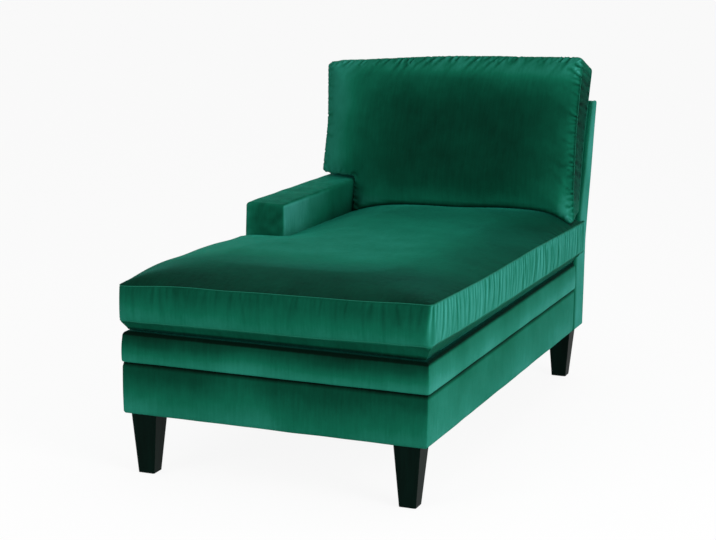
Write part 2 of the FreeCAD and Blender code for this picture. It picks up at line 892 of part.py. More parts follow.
os.makedirs("parts", exist_ok=True)
nodes, middle = build()
for name, shape in sorted(nodes.items()):
    shape.exportStep(os.path.join("parts", name + ".step"))
    size = shape.BoundBox
    print(
        f"{name:28s} solids {len(shape.Solids)} valid {shape.isValid()} volume {shape.Volume:12.1f}"
        f" x {size.XMin:8.2f} {size.XMax:8.2f} y {size.YMin:8.2f} {size.YMax:8.2f}"
        f" z {size.ZMin:7.2f} {size.ZMax:7.2f}"
    )
print("nodes", len(nodes), "front plane of the base at y", -middle)
print("legs at", [(round(x, 2), round(y - middle, 2)) for x, y in leg_places()])
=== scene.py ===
import math
import random

import bmesh
import bpy
import numpy as np
from mathutils import Matrix, Vector, noise
from mathutils.bvhtree import BVHTree
from mathutils.geometry import delaunay_2d_cdt
from mathutils.kdtree import KDTree


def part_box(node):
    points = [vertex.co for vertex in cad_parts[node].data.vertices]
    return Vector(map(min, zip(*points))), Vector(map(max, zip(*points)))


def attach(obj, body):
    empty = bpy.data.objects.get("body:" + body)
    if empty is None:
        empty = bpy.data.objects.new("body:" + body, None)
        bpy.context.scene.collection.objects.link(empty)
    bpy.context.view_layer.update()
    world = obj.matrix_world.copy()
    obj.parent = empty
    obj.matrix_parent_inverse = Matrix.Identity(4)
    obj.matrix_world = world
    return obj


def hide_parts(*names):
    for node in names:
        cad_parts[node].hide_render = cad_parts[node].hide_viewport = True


# The one-armed recamier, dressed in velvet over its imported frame. Lengths are metres in the frame of
# the solids: X across the seat with the arm on -X, the foot end on -Y, Z up from the floor.

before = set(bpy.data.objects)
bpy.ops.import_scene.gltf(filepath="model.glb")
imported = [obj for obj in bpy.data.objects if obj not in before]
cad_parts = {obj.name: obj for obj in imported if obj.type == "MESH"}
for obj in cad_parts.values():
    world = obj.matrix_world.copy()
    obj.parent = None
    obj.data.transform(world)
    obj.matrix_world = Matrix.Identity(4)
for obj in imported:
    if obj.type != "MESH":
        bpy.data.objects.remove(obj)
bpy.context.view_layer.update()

# Places that the pieces share. Y is counted from the front plane of the base.
band_low, band_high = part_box("upper_band_cover")
arm_low, arm_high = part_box("arm_cover")
FRONT = band_low.y
HALF = band_high.x
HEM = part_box("lower_base_cover")[0].z - 0.0035
BAND_SEAM = band_low.z
DECK = band_high.z
SEAT_END = FRONT + 1.371
GROOVE = 0.001
ARM_FRONT = arm_low.y
ARM_INNER = arm_high.x
ARM_TOP = arm_high.z
ARM_CREST = ARM_TOP + 0.009
BACK_FRONT = FRONT + 1.372
BACK_REAR = FRONT + 1.488
BACK_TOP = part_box("inside_back_cover")[1].z + 0.0035
BEND = 0.430
INSIDE_LEAN = math.radians(17.0)
OUTSIDE_LEAN = math.radians(10.8)
COVER = 0.0025


# Materials


def plug(tree, node, values):
    """Sets each named or numbered socket of a node to a value, or links it to another socket."""
    for name, value in values.items():
        if isinstance(value, bpy.types.NodeSocket):
            tree.links.new(value, node.inputs[name])
        else:
            node.inputs[name].default_value = value


def add_node(tree, kind, values, **settings):
    """Shader node of a kind with its sockets and settings."""
    node = tree.nodes.new("ShaderNode" + kind)
    for name, value in settings.items():
        setattr(node, name, value)
    plug(tree, node, values)
    return node


def new_material(name):
    """Empty node material with a Principled shader, and its node tree."""
    material = bpy.data.materials.new(name)
    material.use_nodes = True
    tree = material.node_tree
    return material, tree, tree.nodes["Principled BSDF"]


def coordinates(tree, stretch=(1, 1, 1)):
    """Object coordinates stretched along each axis."""
    place = add_node(tree, "TexCoord", {}).outputs["Object"]
    return add_node(tree, "Mapping", {"Vector": place, "Scale": stretch}).outputs["Vector"]


def noise_node(tree, scale, stretch=(1, 1, 1), detail=2.0, roughness=0.5):
    """Noise of a scale, stretched along the axes."""
    sockets = {"Scale": scale, "Detail": detail, "Roughness": roughness, "Vector": coordinates(tree, stretch)}
    return add_node(tree, "TexNoise", sockets).outputs["Fac"]


def math_node(tree, operation, *values, clamp=False):
    """One step of arithmetic on sockets or numbers."""
    sockets = dict(enumerate(values))
    return add_node(tree, "Math", sockets, operation=operation, use_clamp=clamp).outputs["Value"]


def ramp_node(tree, factor, stops):
    """Colour ramp through (place, colour) stops."""
    node = add_node(tree, "ValToRGB", {"Fac": factor})
    ramp = node.color_ramp
    while len(ramp.elements) < len(stops):
        ramp.elements.new(0.5)
    for element, (place, colour) in zip(ramp.elements, stops):
        element.position = place
        element.color = (*colour, 1)
    return node.outputs["Color"]


def bump_node(tree, height, distance, strength=1.0):
    """Normal of a surface raised by a height."""
    sockets = {"Height": height, "Distance": distance, "Strength": strength}
    return add_node(tree, "Bump", sockets).outputs["Normal"]


VELVET_STOPS = [
    (0.0, (0.0003, 0.0050, 0.0026)),
    (0.3, (0.0010, 0.040, 0.0215)),
    (0.55, (0.0030, 0.089, 0.050)),
    (0.8, (0.0130, 0.154, 0.106)),
    (1.0, (0.036, 0.242, 0.197)),
]
SHEEN_TINT = (0.03, 0.56, 0.41, 1)
STREAKS = ((150, 20, 16), (20, 150, 16))
STREAK_GAIN = 0.16
BLOTCH_GAIN = 0.30
MIDDLE_TONE = 0.36
PAINTED_LIGHT_GAIN = 0.42
LACQUER_DARK = (0.0003, 0.0034, 0.0022)
LACQUER_LIGHT = (0.0006, 0.0060, 0.0040)


def velvet_material():
    """Emerald velvet. An attribute of painted light and shade, with some random tone, shifts its colour
    darker or lighter.
    """
    material, tree, shader = new_material("velvet_pile")
    # The attribute read here holds painted light and shade, with some random tone.
    painted_light_and_tone = add_node(tree, "Attribute", {}, attribute_name="painted_light_and_tone").outputs["Fac"]
    across, along = [noise_node(tree, 1.0, stretch, 4.0, 0.65) for stretch in STREAKS]
    normal = add_node(tree, "NewGeometry", {}).outputs["Normal"]
    sideways = math_node(tree, "ABSOLUTE", add_node(tree, "SeparateXYZ", {"Vector": normal}).outputs["X"])
    mixed = add_node(tree, "Mix", {"Factor": sideways, "A": across, "B": along}).outputs["Result"]
    streak = math_node(tree, "MULTIPLY_ADD", mixed, STREAK_GAIN, -STREAK_GAIN / 2)
    mottle = noise_node(tree, 9.0, detail=5.0, roughness=0.6)
    tone = math_node(tree, "ADD", streak, math_node(tree, "MULTIPLY_ADD", mottle, BLOTCH_GAIN, MIDDLE_TONE))
    # Painted light and shade from the attribute make the colour darker or lighter.
    tone = math_node(tree, "ADD", tone, math_node(tree, "MULTIPLY", painted_light_and_tone, PAINTED_LIGHT_GAIN), clamp=True)
    pile = math_node(tree, "MULTIPLY", noise_node(tree, 1400.0, detail=1.0), 0.3)
    height = math_node(tree, "ADD", pile, noise_node(tree, 60.0, (1, 1, 0.35), 3.0))
    sockets = {
        "Base Color": ramp_node(tree, tone, VELVET_STOPS),
        "Roughness": 0.78,
        "Specular IOR Level": 0.02,
        "Sheen Weight": 0.21,
        "Sheen Roughness": 0.30,
        "Sheen Tint": SHEEN_TINT,
        "Normal": bump_node(tree, height, 0.0009, 0.7),
    }
    plug(tree, shader, sockets)
    return material


def patterned(name, pattern_of, stops, relief, **sockets):
    """Material whose colour and relief follow one pattern. Sockets are named with underscores."""
    material, tree, shader = new_material(name)
    pattern = pattern_of(tree)
    values = {"Base Color": ramp_node(tree, pattern, stops), "Normal": bump_node(tree, pattern, relief)}
    values.update({socket.replace("_", " "): value for socket, value in sockets.items()})
    plug(tree, shader, values)
    return material


def plain_cloth(name, dark, light, scale, relief, rough=0.85):
    """Cloth, felt or fibre with a mottled colour and a fine raised texture."""

    def grain(tree):
        return noise_node(tree, scale, detail=4.0, roughness=0.65)

    stops = [(0.3, dark), (0.7, light)]
    return patterned(name, grain, stops, relief, Roughness=rough, Specular_IOR_Level=0.1)


def woven(name, dark, light, pitch, relief):
    """Weave of crossing yarns, from waves along two axes."""

    def weave(tree):
        sockets = {"Scale": 2 / (math.tau * pitch), "Distortion": 1.5, "Vector": coordinates(tree)}
        waves = [add_node(tree, "TexWave", sockets, bands_direction=way).outputs["Fac"] for way in ("X", "Y")]
        return math_node(tree, "MULTIPLY", *waves)

    return patterned(name, weave, [(0.1, dark), (0.8, light)], relief, Roughness=0.9)


def wood(name, dark, light, stretch, relief, rough):
    """Timber with grain along the least stretched axis."""

    def rings(tree):
        return noise_node(tree, 1.0, stretch, 6.0, 0.62)

    stops = [(0.35, dark), (0.68, light)]
    return patterned(name, rings, stops, relief, Roughness=rough, Specular_IOR_Level=0.025)


def metal(name, dark, light, relief, rough):
    """Zinc plated steel with a faint mottle."""

    def mottle(tree):
        return noise_node(tree, 220.0, detail=3.0)

    return patterned(name, mottle, [(0.3, dark), (0.7, light)], relief, Roughness=rough, Metallic=1.0)


materials = {
    "velvet": velvet_material(),
    "leg_timber": wood("leg_lacquer", LACQUER_DARK, LACQUER_LIGHT, (60, 60, 4), 0.0002, 0.45),
    "frame_timber": wood("sawn_beech", (0.36, 0.22, 0.11), (0.58, 0.40, 0.22), (9, 60, 60), 0.0006, 0.75),
    "lining_board": plain_cloth("grey_board", (0.26, 0.19, 0.11), (0.36, 0.27, 0.17), 90, 0.0003),
    "foam": plain_cloth("foam_cells", (0.74, 0.68, 0.48), (0.88, 0.83, 0.64), 500, 0.0006),
    "felt": plain_cloth("needled_felt", (0.20, 0.20, 0.19), (0.34, 0.34, 0.32), 160, 0.0008),
    "fibre": plain_cloth("white_fibre", (0.78, 0.78, 0.76), (0.93, 0.93, 0.91), 60, 0.0015),
    "webbing": woven("jute_webbing", (0.14, 0.09, 0.04), (0.34, 0.25, 0.13), 0.0035, 0.0005),
    "base_cloth": plain_cloth("black_base_cloth", (0.006, 0.008, 0.007), (0.02, 0.024, 0.022), 900, 0.0002),
    "zip_tape": woven("zip_weave", (0.004, 0.03, 0.02), (0.010, 0.07, 0.05), 0.0012, 0.0002),
    "steel": metal("zinc_steel", (0.34, 0.34, 0.33), (0.391, 0.391, 0.3795), 0.00005, 0.32),
    "glide_plastic": plain_cloth("black_plastic", (0.010,) * 3, (0.018,) * 3, 300, 0.0001, 0.5),
}
thread = plain_cloth("seam_thread", (0.004, 0.075, 0.045), (0.010, 0.15, 0.095), 900, 0.0002, 0.8)

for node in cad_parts.values():
    for entry in node.material_slots:
        entry.material = materials[entry.material.name.split(".")[0]]


# Making of meshes

WELD = 0.00002
PAINTED_LIGHT_RANGE = (-1.3, 1.1)
ARC_TURN = 0.2


def add_object(name, data):
    """Object of the data, linked to the scene."""
    thing = bpy.data.objects.new(name, data)
    bpy.context.scene.collection.objects.link(thing)
    return thing


def new_mesh(name, points, faces):
    """Mesh of points and faces."""
    mesh = bpy.data.meshes.new(name)
    mesh.from_pydata([tuple(p) for p in points], [], [tuple(int(k) for k in f) for f in faces])
    return mesh


def add_piece(name, points, faces, slot="velvet", body="frame", replaced=(), sharp=50.0, weld=True):
    """Mesh object in the shared frame that rides on a body, takes the material of its slot and hides the
    nodes it stands for.
    """
    mesh = new_mesh(name, points, faces)
    mesh.validate()
    piece = add_object(name, mesh)
    mesh.materials.append(materials[slot])
    work = bmesh.new()
    work.from_mesh(mesh)
    if weld:
        bmesh.ops.remove_doubles(work, verts=work.verts, dist=WELD)
    bmesh.ops.recalc_face_normals(work, faces=work.faces)
    work.to_mesh(mesh)
    work.free()
    mesh.shade_smooth()
    mesh.set_sharp_from_angle(angle=math.radians(sharp))
    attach(piece, body)
    if replaced:
        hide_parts(*replaced)
    return piece


def coords(piece):
    """Vertex places of a piece as an array."""
    flat = np.empty(len(piece.data.vertices) * 3)
    piece.data.vertices.foreach_get("co", flat)
    return flat.reshape(-1, 3)


def set_coords(piece, points):
    """Moves the vertices of a piece."""
    piece.data.vertices.foreach_set("co", np.ascontiguousarray(points, dtype=float).ravel())
    piece.data.update()


def normals(piece):
    """Vertex normals of a piece as an array."""
    return np.array([tuple(v.normal) for v in piece.data.vertices])


def field(points, scale, seed):
    """Smooth noise between -1 and 1 at each point."""
    shift = Vector((seed * 7.31, seed * 3.17, seed * 5.73))
    return np.array([noise.noise(Vector(p) * scale + shift) for p in points])


def paint_light_and_tone(piece, values):
    """Writes painted light and shade, with random tone, that shifts the velvet's colour: dark below 0, light
    above it.
    """
    data = piece.data.attributes.new("painted_light_and_tone", "FLOAT", "POINT")
    data.data.foreach_set("value", np.clip(np.asarray(values, dtype=float), *PAINTED_LIGHT_RANGE).ravel())


def ruffle(piece, amount, scale, seed):
    """Moves the vertices along their normals by smooth noise."""
    points = coords(piece)
    set_coords(piece, points + normals(piece) * (field(points, scale, seed) * amount)[:, None])


def smooth_step(values, low, high):
    """Soft step from 0 at low to 1 at high."""
    t = np.clip((np.asarray(values, dtype=float) - low) / (high - low), 0, 1)
    return t * t * (3 - 2 * t)


def ring_faces(count, size, closed=False):
    """Quads between consecutive rings of a size. Rings close on themselves where closed."""
    faces = []
    last = size if closed else size - 1
    for k in range(count - 1):
        for j in range(last):
            here, after = k * size + j, k * size + (j + 1) % size
            faces.append((here, after, after + size, here + size))
    return faces


def fillet_line(corners, radii, step, closed=True):
    """Points along a line of corners, each rounded by its radius, about a step apart."""
    count = len(corners)
    places = [Vector((x, y)) for x, y in corners]
    arcs = []
    for k, (corner, radius) in enumerate(zip(places, radii)):
        if radius <= 0 or (not closed and k in (0, count - 1)):
            arcs.append([corner])
            continue
        before = (places[k - 1] - corner).normalized()
        after = (places[(k + 1) % count] - corner).normalized()
        opening = before.angle(after)
        turn = math.pi - opening
        reach = radius * math.tan(turn / 2)
        centre = corner + (before + after).normalized() * (radius / math.sin(opening / 2))
        start, end = corner + before * reach, corner + after * reach
        steps = max(2, math.ceil(radius * turn / step), math.ceil(turn / ARC_TURN))
        sign = 1 if (start - centre).cross(end - centre) > 0 else -1
        arm = start - centre
        arc = []
        for j in range(steps + 1):
            angle = sign * turn * j / steps
            cosine, sine = math.cos(angle), math.sin(angle)
            arc.append(centre + Vector((arm.x * cosine - arm.y * sine, arm.x * sine + arm.y * cosine)))
        arcs.append(arc)
    line = []
    spans = count if closed else count - 1
    for k in range(count):
        line += arcs[k]
        if k < spans:
            start, end = arcs[k][-1], arcs[(k + 1) % count][0]
            steps = max(1, round((end - start).length / step))
            line += [start.lerp(end, j / steps) for j in range(1, steps)]
    return np.array([tuple(p) for p in line])


def unit(rows):
    """Rows scaled to length 1."""
    return rows / np.linalg.norm(rows, axis=1)[:, None]


def right_of(ahead):
    """Unit directions to the right of directions of travel."""
    ahead = unit(ahead)
    return np.stack([ahead[:, 1], -ahead[:, 0]], 1)


def loop_normals(loop):
    """Outward directions of an anticlockwise loop."""
    return right_of(np.roll(loop, -1, 0) - np.roll(loop, 1, 0))


def lengths_along(line):
    """Length from the start of a line to each of its points."""
    return np.concatenate([[0], np.cumsum(np.linalg.norm(np.diff(line, axis=0), axis=1))])


def loop_lengths(loop):
    """Length from the start of a closed loop to each of its points, and the length all round."""
    along = lengths_along(loop)
    return along, along[-1] + float(np.linalg.norm(loop[0] - loop[-1]))


def interpolated(wanted, at, rows):
    """2D rows known at some lengths, read at the wanted lengths."""
    return np.stack([np.interp(wanted, at, rows[:, k]) for k in (0, 1)], 1)


def loop_distance(points, loop):
    """Distance of each 2D point from a closed loop, and how far along the loop the nearest place is."""
    tree = KDTree(len(loop))
    for k, p in enumerate(loop):
        tree.insert((p[0], p[1], 0), k)
    tree.balance()
    lengths = np.linalg.norm(np.roll(loop, -1, 0) - loop, axis=1)
    along = np.concatenate([[0], np.cumsum(lengths)[:-1]])
    distance, place = np.empty(len(points)), np.empty(len(points))
    count = len(loop)
    for i, p in enumerate(points):
        k = tree.find((p[0], p[1], 0))[1]
        best = None
        for a in (k - 1, k):
            start, end = loop[a % count], loop[(a + 1) % count]
            way = end - start
            t = float(np.clip(np.dot(p - start, way) / np.dot(way, way), 0, 1))
            d = float(np.hypot(*(p - start - way * t)))
            if best is None or d < best[0]:
                best = (d, along[a % count] + lengths[a % count] * t)
        distance[i], place[i] = best
    return distance, place


def inside_loop(points, loop):
    """Whether each 2D point lies inside a closed loop."""
    x, y = points[:, 0], points[:, 1]
    inside = np.zeros(len(points), bool)
    for (x0, y0), (x1, y1) in zip(loop, np.roll(loop, -1, 0)):
        crosses = (y0 > y) != (y1 > y)
        if y0 != y1:
            inside ^= crosses & (x < (x1 - x0) * (y - y0) / (y1 - y0) + x0)
    return inside


def filled(loop, step, insets=()):
    """Triangles over the inside of a loop, with the loop's points first. Rows at the insets follow it."""
    low, high = loop.min(0), loop.max(0)
    columns = np.arange(low[0] + step / 2, high[0], step)
    rows = np.arange(low[1] + step / 2, high[1], step)
    grid = np.array([(x + (step / 2 if k % 2 else 0), y) for k, y in enumerate(rows) for x in columns])
    grid = grid[inside_loop(grid, loop)]
    edge = max([step * 0.55] + [inset + step * 0.45 for inset in insets])
    places = [loop, grid[loop_distance(grid, loop)[0] > edge]]
    for inset in insets:
        row = loop - loop_normals(loop) * inset
        row = row[inside_loop(row, loop)]
        places.append(row[loop_distance(row, loop)[0] > inset * 0.94])
    points = [Vector(p) for p in np.concatenate(places)]
    edges = [(k, (k + 1) % len(loop)) for k in range(len(loop))]
    result = delaunay_2d_cdt(points, edges, [list(range(len(loop)))], 1, 1e-7)
    places = np.array([tuple(p) for p in result[0]])
    return places, [tuple(f) for f in result[2]]


# Panels: flat or bent covers with turned edges


def panel(name, loop, place, depth, rim, step, **words):
    """Cover panel of a depth with rounded rims. place(points, out) puts 2D points in the frame."""
    inward = -loop_normals(loop)
    quarter = [(rim * (1 - math.cos(a)), rim * (math.sin(a) - 1)) for a in (0, 0.4, 0.8, 1.2)]
    rows = [(0.0, -depth)] + quarter
    rings = [place(loop + inward * inset, np.full(len(loop), out)) for inset, out in rows]
    face_points, faces = filled(loop + inward * rim, step)
    count = len(loop)
    top = place(face_points, np.zeros(len(face_points)))
    under = place(face_points, np.full(len(face_points), -depth))
    points = np.concatenate(rings + [top, under])
    every = ring_faces(len(rows) + 1, count, closed=True)
    start = len(rows) * count
    every += [tuple(start + k for k in f) for f in faces]
    start += len(face_points)
    every += [tuple(start + k for k in reversed(f)) for f in faces]
    for j in range(count):
        after = (j + 1) % count
        every.append((j, start + j, start + after, after))
    return add_piece(name, points, every, **words)


def line_map(corners, radii, step=0.003):
    """Rounded open line in a plane as a function from length to place and direction across it."""
    line = fillet_line(corners, radii, step, closed=False)
    lengths = lengths_along(line)
    across = -right_of(np.gradient(line, lengths, axis=0))

    def at(length):
        return interpolated(length, lengths, line), interpolated(length, lengths, across)

    return at, lengths[-1]


# Cushions

ROUNDING = 5.0
SHOULDER = 0.35
SEAM_RADIUS = 0.0009
SEAM_DIP = 0.0008
SEAM_STEP = 0.0036
FACE_STEP = 0.0098
LEVELS = 14
CLOTH_FRAMES = 20
CLOTH = {
    "vertex_group_mass": "held",
    "quality": 4,
    "mass": 0.3,
    "tension_stiffness": 12,
    "compression_stiffness": 12,
    "shear_stiffness": 4,
    "bending_stiffness": 0.4,
    "use_pressure": True,
    "uniform_pressure_force": 4.0,
}


def softened_distance(points, sides, loop):
    """Distance from the loop near it, and a distance that rounds the corners further in."""
    exact, place = loop_distance(points, loop)
    total = np.zeros(len(points))
    for side in sides:
        nearest = np.full(len(points), 9.0)
        for start, end in zip(side[:-1], side[1:]):
            start, end = np.array(start), np.array(end)
            way = end - start
            t = np.clip((points - start) @ way / (way @ way), 0, 1)
            nearest = np.minimum(nearest, np.linalg.norm(points - start - t[:, None] * way, axis=1))
        total += np.maximum(nearest, 1e-4) ** -ROUNDING
    soft = total ** (-1 / ROUNDING)
    share = smooth_step(exact, 0.004, 0.07)
    return exact * (1 - share) + soft * share, exact, place


def crown(distance, reach, fullness):
    """Rise of a crown between 0 at the seam and 1 inside."""
    return 1 - (1 - np.clip(distance / reach, 0, 1)) ** fullness


def pucker_set(seed, loop, along, spacing, depth, reach, widths, slants, weight_at):
    """Random short folds across a seam: place, width, depth, reach and slant of each."""
    dice = random.Random(seed)
    folds = []
    at = spacing * dice.uniform(0.2, 0.8)
    while at < along[-1]:
        spot = [np.interp(at, along, loop[:, k]) for k in (0, 1)]
        weight = weight_at(*spot)
        size, length = dice.uniform(0.25, 1.0), dice.uniform(0.45, 1.35)
        width, slant = dice.uniform(*widths), dice.uniform(*slants)
        if weight > 0.02:
            folds.append((at, width, depth * weight * size, reach * length, slant))
        at += spacing * dice.uniform(0.35, 1.65) / (0.5 + 0.5 * min(1.0, weight))
    return folds


def fold_depth(folds, place, distance, total):
    """How deep the folds press in at a place along the seam and a distance from it. Beside each fold
    the cloth stands up."""
    depth = np.zeros(len(place))
    for at, width, deep, reach, slant in folds:
        gap = place - at - slant * distance
        gap = (gap + total / 2) % total - total / 2
        spread = width * (1 + distance / reach * 1.2)
        fade = np.exp(-((distance / reach) ** 2))
        depth += deep * fade * np.exp(-((gap / spread) ** 2))
        depth -= SHOULDER * deep * fade * np.exp(-(((np.abs(gap) - 2 * spread) / spread) ** 2))
    return depth


def vertex_ways(points, faces):
    """Directions that point out of a closed form at each of its points."""
    ways = np.zeros_like(points)
    for size in (3, 4):
        ring = np.array([f for f in faces if len(f) == size])
        if len(ring):
            corner = points[ring]
            cross = np.cross(corner[:, 1] - corner[:, 0], corner[:, 2] - corner[:, 0])
            if size == 4:
                cross = cross + np.cross(corner[:, 2] - corner[:, 0], corner[:, 3] - corner[:, 0])
            for k in range(size):
                np.add.at(ways, ring[:, k], cross)
    return ways / np.maximum(np.linalg.norm(ways, axis=1), 1e-12)[:, None]


def inflated(points, faces, held, reach):
    """Points of a cushion after a cloth simulation with air in it. The seams are held, and no point
    moves further than its reach."""
    mesh = new_mesh("swelling", points, faces)
    shape = add_object("swelling", mesh)
    group = shape.vertex_groups.new(name="held")
    group.add([int(k) for k in held], 1.0, "REPLACE")
    cloth = shape.modifiers.new("cloth", "CLOTH")
    for name, value in CLOTH.items():
        setattr(cloth.settings, name, value)
    cloth.settings.effector_weights.gravity = 0
    cloth.point_cache.frame_start = 1
    cloth.point_cache.frame_end = CLOTH_FRAMES
    scene = bpy.context.scene
    for step in range(1, CLOTH_FRAMES + 1):
        scene.frame_set(step)
    swollen = shape.evaluated_get(bpy.context.evaluated_depsgraph_get())
    move = coords(swollen) - points
    scene.frame_set(1)
    bpy.data.objects.remove(shape)
    bpy.data.meshes.remove(mesh)
    length = np.linalg.norm(move, axis=1)
    return points + move * np.minimum(1, reach / np.maximum(length, 1e-9))[:, None]


def cushion_form(under, under_faces, rings, over, over_faces):
    """Closed form of a cushion from its underside, the rings of its boxing and its upper face. The last
    value is the number of the first point of the underside's loop, of each ring and of the face's loop."""
    size, count = len(under), len(rings[0])
    bases = [0] + [size + k * count for k in range(len(rings) + 1)]
    faces = [tuple(reversed(f)) for f in under_faces]
    for low, high in zip(bases[:-1], bases[1:]):
        for j in range(count):
            after = (j + 1) % count
            faces.append((low + j, low + after, high + after, high + j))
    faces += [tuple(bases[-1] + k for k in f) for f in over_faces]
    return np.concatenate([under] + rings + [over]), faces, bases


def pressed(points, faces, folds, seams):
    """Points with the folds pressed in, and the seams a little."""
    dip = np.zeros(len(points))
    dip[seams] = SEAM_DIP
    return points - vertex_ways(points, faces) * (folds + dip)[:, None]


def seam_cord(name, points, body, closed=True):
    """Thin sewn ridge along a seam."""
    curve = bpy.data.curves.new(name, "CURVE")
    curve.dimensions = "3D"
    curve.bevel_depth = SEAM_RADIUS
    curve.bevel_resolution = 2
    spline = curve.splines.new("POLY")
    spline.points.add(len(points) - 1)
    for entry, p in zip(spline.points, points):
        entry.co = (*p, 1)
    spline.use_cyclic_u = closed
    shape = bpy.data.objects.new(name + "_line", curve)
    mesh = bpy.data.meshes.new_from_object(shape)
    bpy.data.objects.remove(shape)
    bpy.data.curves.remove(curve)
    mesh.name = name
    piece = add_object(name, mesh)
    mesh.materials.clear()
    mesh.materials.append(thread)
    mesh.shade_smooth()
    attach(piece, body)


def anchored(points, anchors):
    """Value at each 2D point, blended from anchors of place and value."""
    total, value = np.zeros(len(points)), np.zeros(len(points))
    for x, y, amount in anchors:
        weight = 1 / (np.hypot(points[:, 0] - x, points[:, 1] - y) ** 2 + 0.004)
        total += weight
        value += weight * amount
    return value / total


seat_low, seat_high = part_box("seat_cushion_cover")
SEAT_SIDE = seat_high.x
SEAT_FRONT = seat_low.y
SEAT_UNDER = seat_low.z
SEAT_BOXING = 0.103
SEAT_LOW_SEAM = SEAT_UNDER + 0.032
SEAT_HIGH_SEAM = SEAT_LOW_SEAM + SEAT_BOXING
SEAT_CROWN = 0.028
SIDE_DRAW = 0.005
RIM_ROWS = (0.0032, 0.0070, 0.0115, 0.0170)
SEAT_GAP = 0.008
BESIDE_ARM = ARM_INNER + 0.001
BEFORE_ARM = ARM_FRONT - 0.001
FAR = 0.03
TOUCHING = 0.002
OPEN = 0.016
DEEP_FOLD = 0.0022
LOOK_OFF = 0.0005
MEET_ABOVE = 0.06
MEET_BELOW = 0.05


def lean_limit(height, gap):
    """Y of the leaning inside face at a height, less a gap."""
    rise = np.maximum(np.asarray(height) - BEND, 0)
    tilt = np.where(np.asarray(height) > BEND, math.cos(INSIDE_LEAN), 1.0)
    return BACK_FRONT - gap / tilt + rise * math.tan(INSIDE_LEAN)


def seat_outline(rear):
    """Corners of the T shape, and the rounded loop through them with its long free ends drawn in."""
    flank = HALF + 0.0030
    corners = [
        (-SEAT_SIDE, SEAT_FRONT),
        (SEAT_SIDE, SEAT_FRONT),
        (SEAT_SIDE + 0.004, rear + 0.038),
        (flank + 0.001, rear + 0.036),
        (flank, rear),
        (BESIDE_ARM, rear),
        (BESIDE_ARM, BEFORE_ARM),
        (-SEAT_SIDE, BEFORE_ARM),
    ]
    loop = fillet_line(corners, [0.020, 0.018, 0.006, 0.003, 0.002, 0.022, 0.012, 0.022], SEAM_STEP)
    for k in (0, 7):
        start, end = np.array(corners[k]), np.array(corners[(k + 1) % 8])
        length = np.linalg.norm(end - start)
        way = (end - start) / length
        inward = np.array([-way[1], way[0]])
        along, off = (loop - start) @ way, (loop - start) @ inward
        t = np.clip(along / length, 0, 1)
        on_side = smooth_step(0.03 - np.abs(off), 0, 0.01)
        loop = loop + inward * (SIDE_DRAW * 4 * t * (1 - t) * on_side)[:, None]
    return corners, loop


def seat_seams(flat, loop, rear):
    """Heights of the lower and the upper seam, carried over the whole plan of the cushion."""
    high_anchors = [
        (-SEAT_SIDE, SEAT_FRONT, -0.019),
        (-0.2, SEAT_FRONT, -0.006),
        (0.1, SEAT_FRONT, -0.001),
        (SEAT_SIDE, SEAT_FRONT, 0.008),
        (SEAT_SIDE, 0.0, -0.003),
        (SEAT_SIDE, rear, -0.013),
        (BESIDE_ARM, rear, -0.014),
        (BESIDE_ARM, BEFORE_ARM, -0.008),
        (-SEAT_SIDE, BEFORE_ARM, -0.014),
        (-SEAT_SIDE, -0.55, 0.003),
        (-SEAT_SIDE, -0.3, 0.0),
    ]
    low_anchors = [
        (-SEAT_SIDE, SEAT_FRONT, -0.004),
        (0.0, SEAT_FRONT, 0.0),
        (SEAT_SIDE, SEAT_FRONT, 0.008),
        (SEAT_SIDE, 0.0, 0.0),
        (SEAT_SIDE, rear, 0.0),
        (BESIDE_ARM, rear, 0.0),
        (-SEAT_SIDE, BEFORE_ARM, 0.0),
    ]
    count = len(loop)
    high_seam = SEAT_HIGH_SEAM + anchored(flat, high_anchors)
    low_seam = SEAT_LOW_SEAM + anchored(flat, low_anchors)
    low_seam[:count] += field(np.c_[loop, np.zeros(count)], 14.0, 41) * 0.0018
    high_seam[:count] += field(np.c_[loop, np.zeros(count)], 9.0, 42) * 0.0012
    return low_seam, high_seam


def seat_top(flat, high_seam, distance, exact):
    """Height of the crowned top, which is fuller at the front left corner, the rear and the rear right."""
    rise = SEAT_CROWN * crown(distance, 0.23, 2.6)
    corner_gap = np.hypot(flat[:, 0] + SEAT_SIDE - 0.05, flat[:, 1] - SEAT_FRONT - 0.06)
    rise += 0.006 * np.exp(-((corner_gap / 0.075) ** 2)) * crown(distance, 0.03, 1.5)
    rear_middle = smooth_step(flat[:, 1], 0.10, 0.46) * smooth_step(flat[:, 0], -0.36, -0.02)
    rise += 0.012 * rear_middle * crown(exact, 0.09, 2.0)
    rear_right = smooth_step(flat[:, 1], 0.22, 0.50) * smooth_step(flat[:, 0], 0.04, 0.24)
    rise += 0.009 * rear_right * crown(exact, 0.08, 2.0)
    sway = field(np.c_[flat, flat[:, 0] * 0], 3.0, 2) * 0.0022 * crown(exact, 0.12, 1.5)
    return high_seam + rise + sway


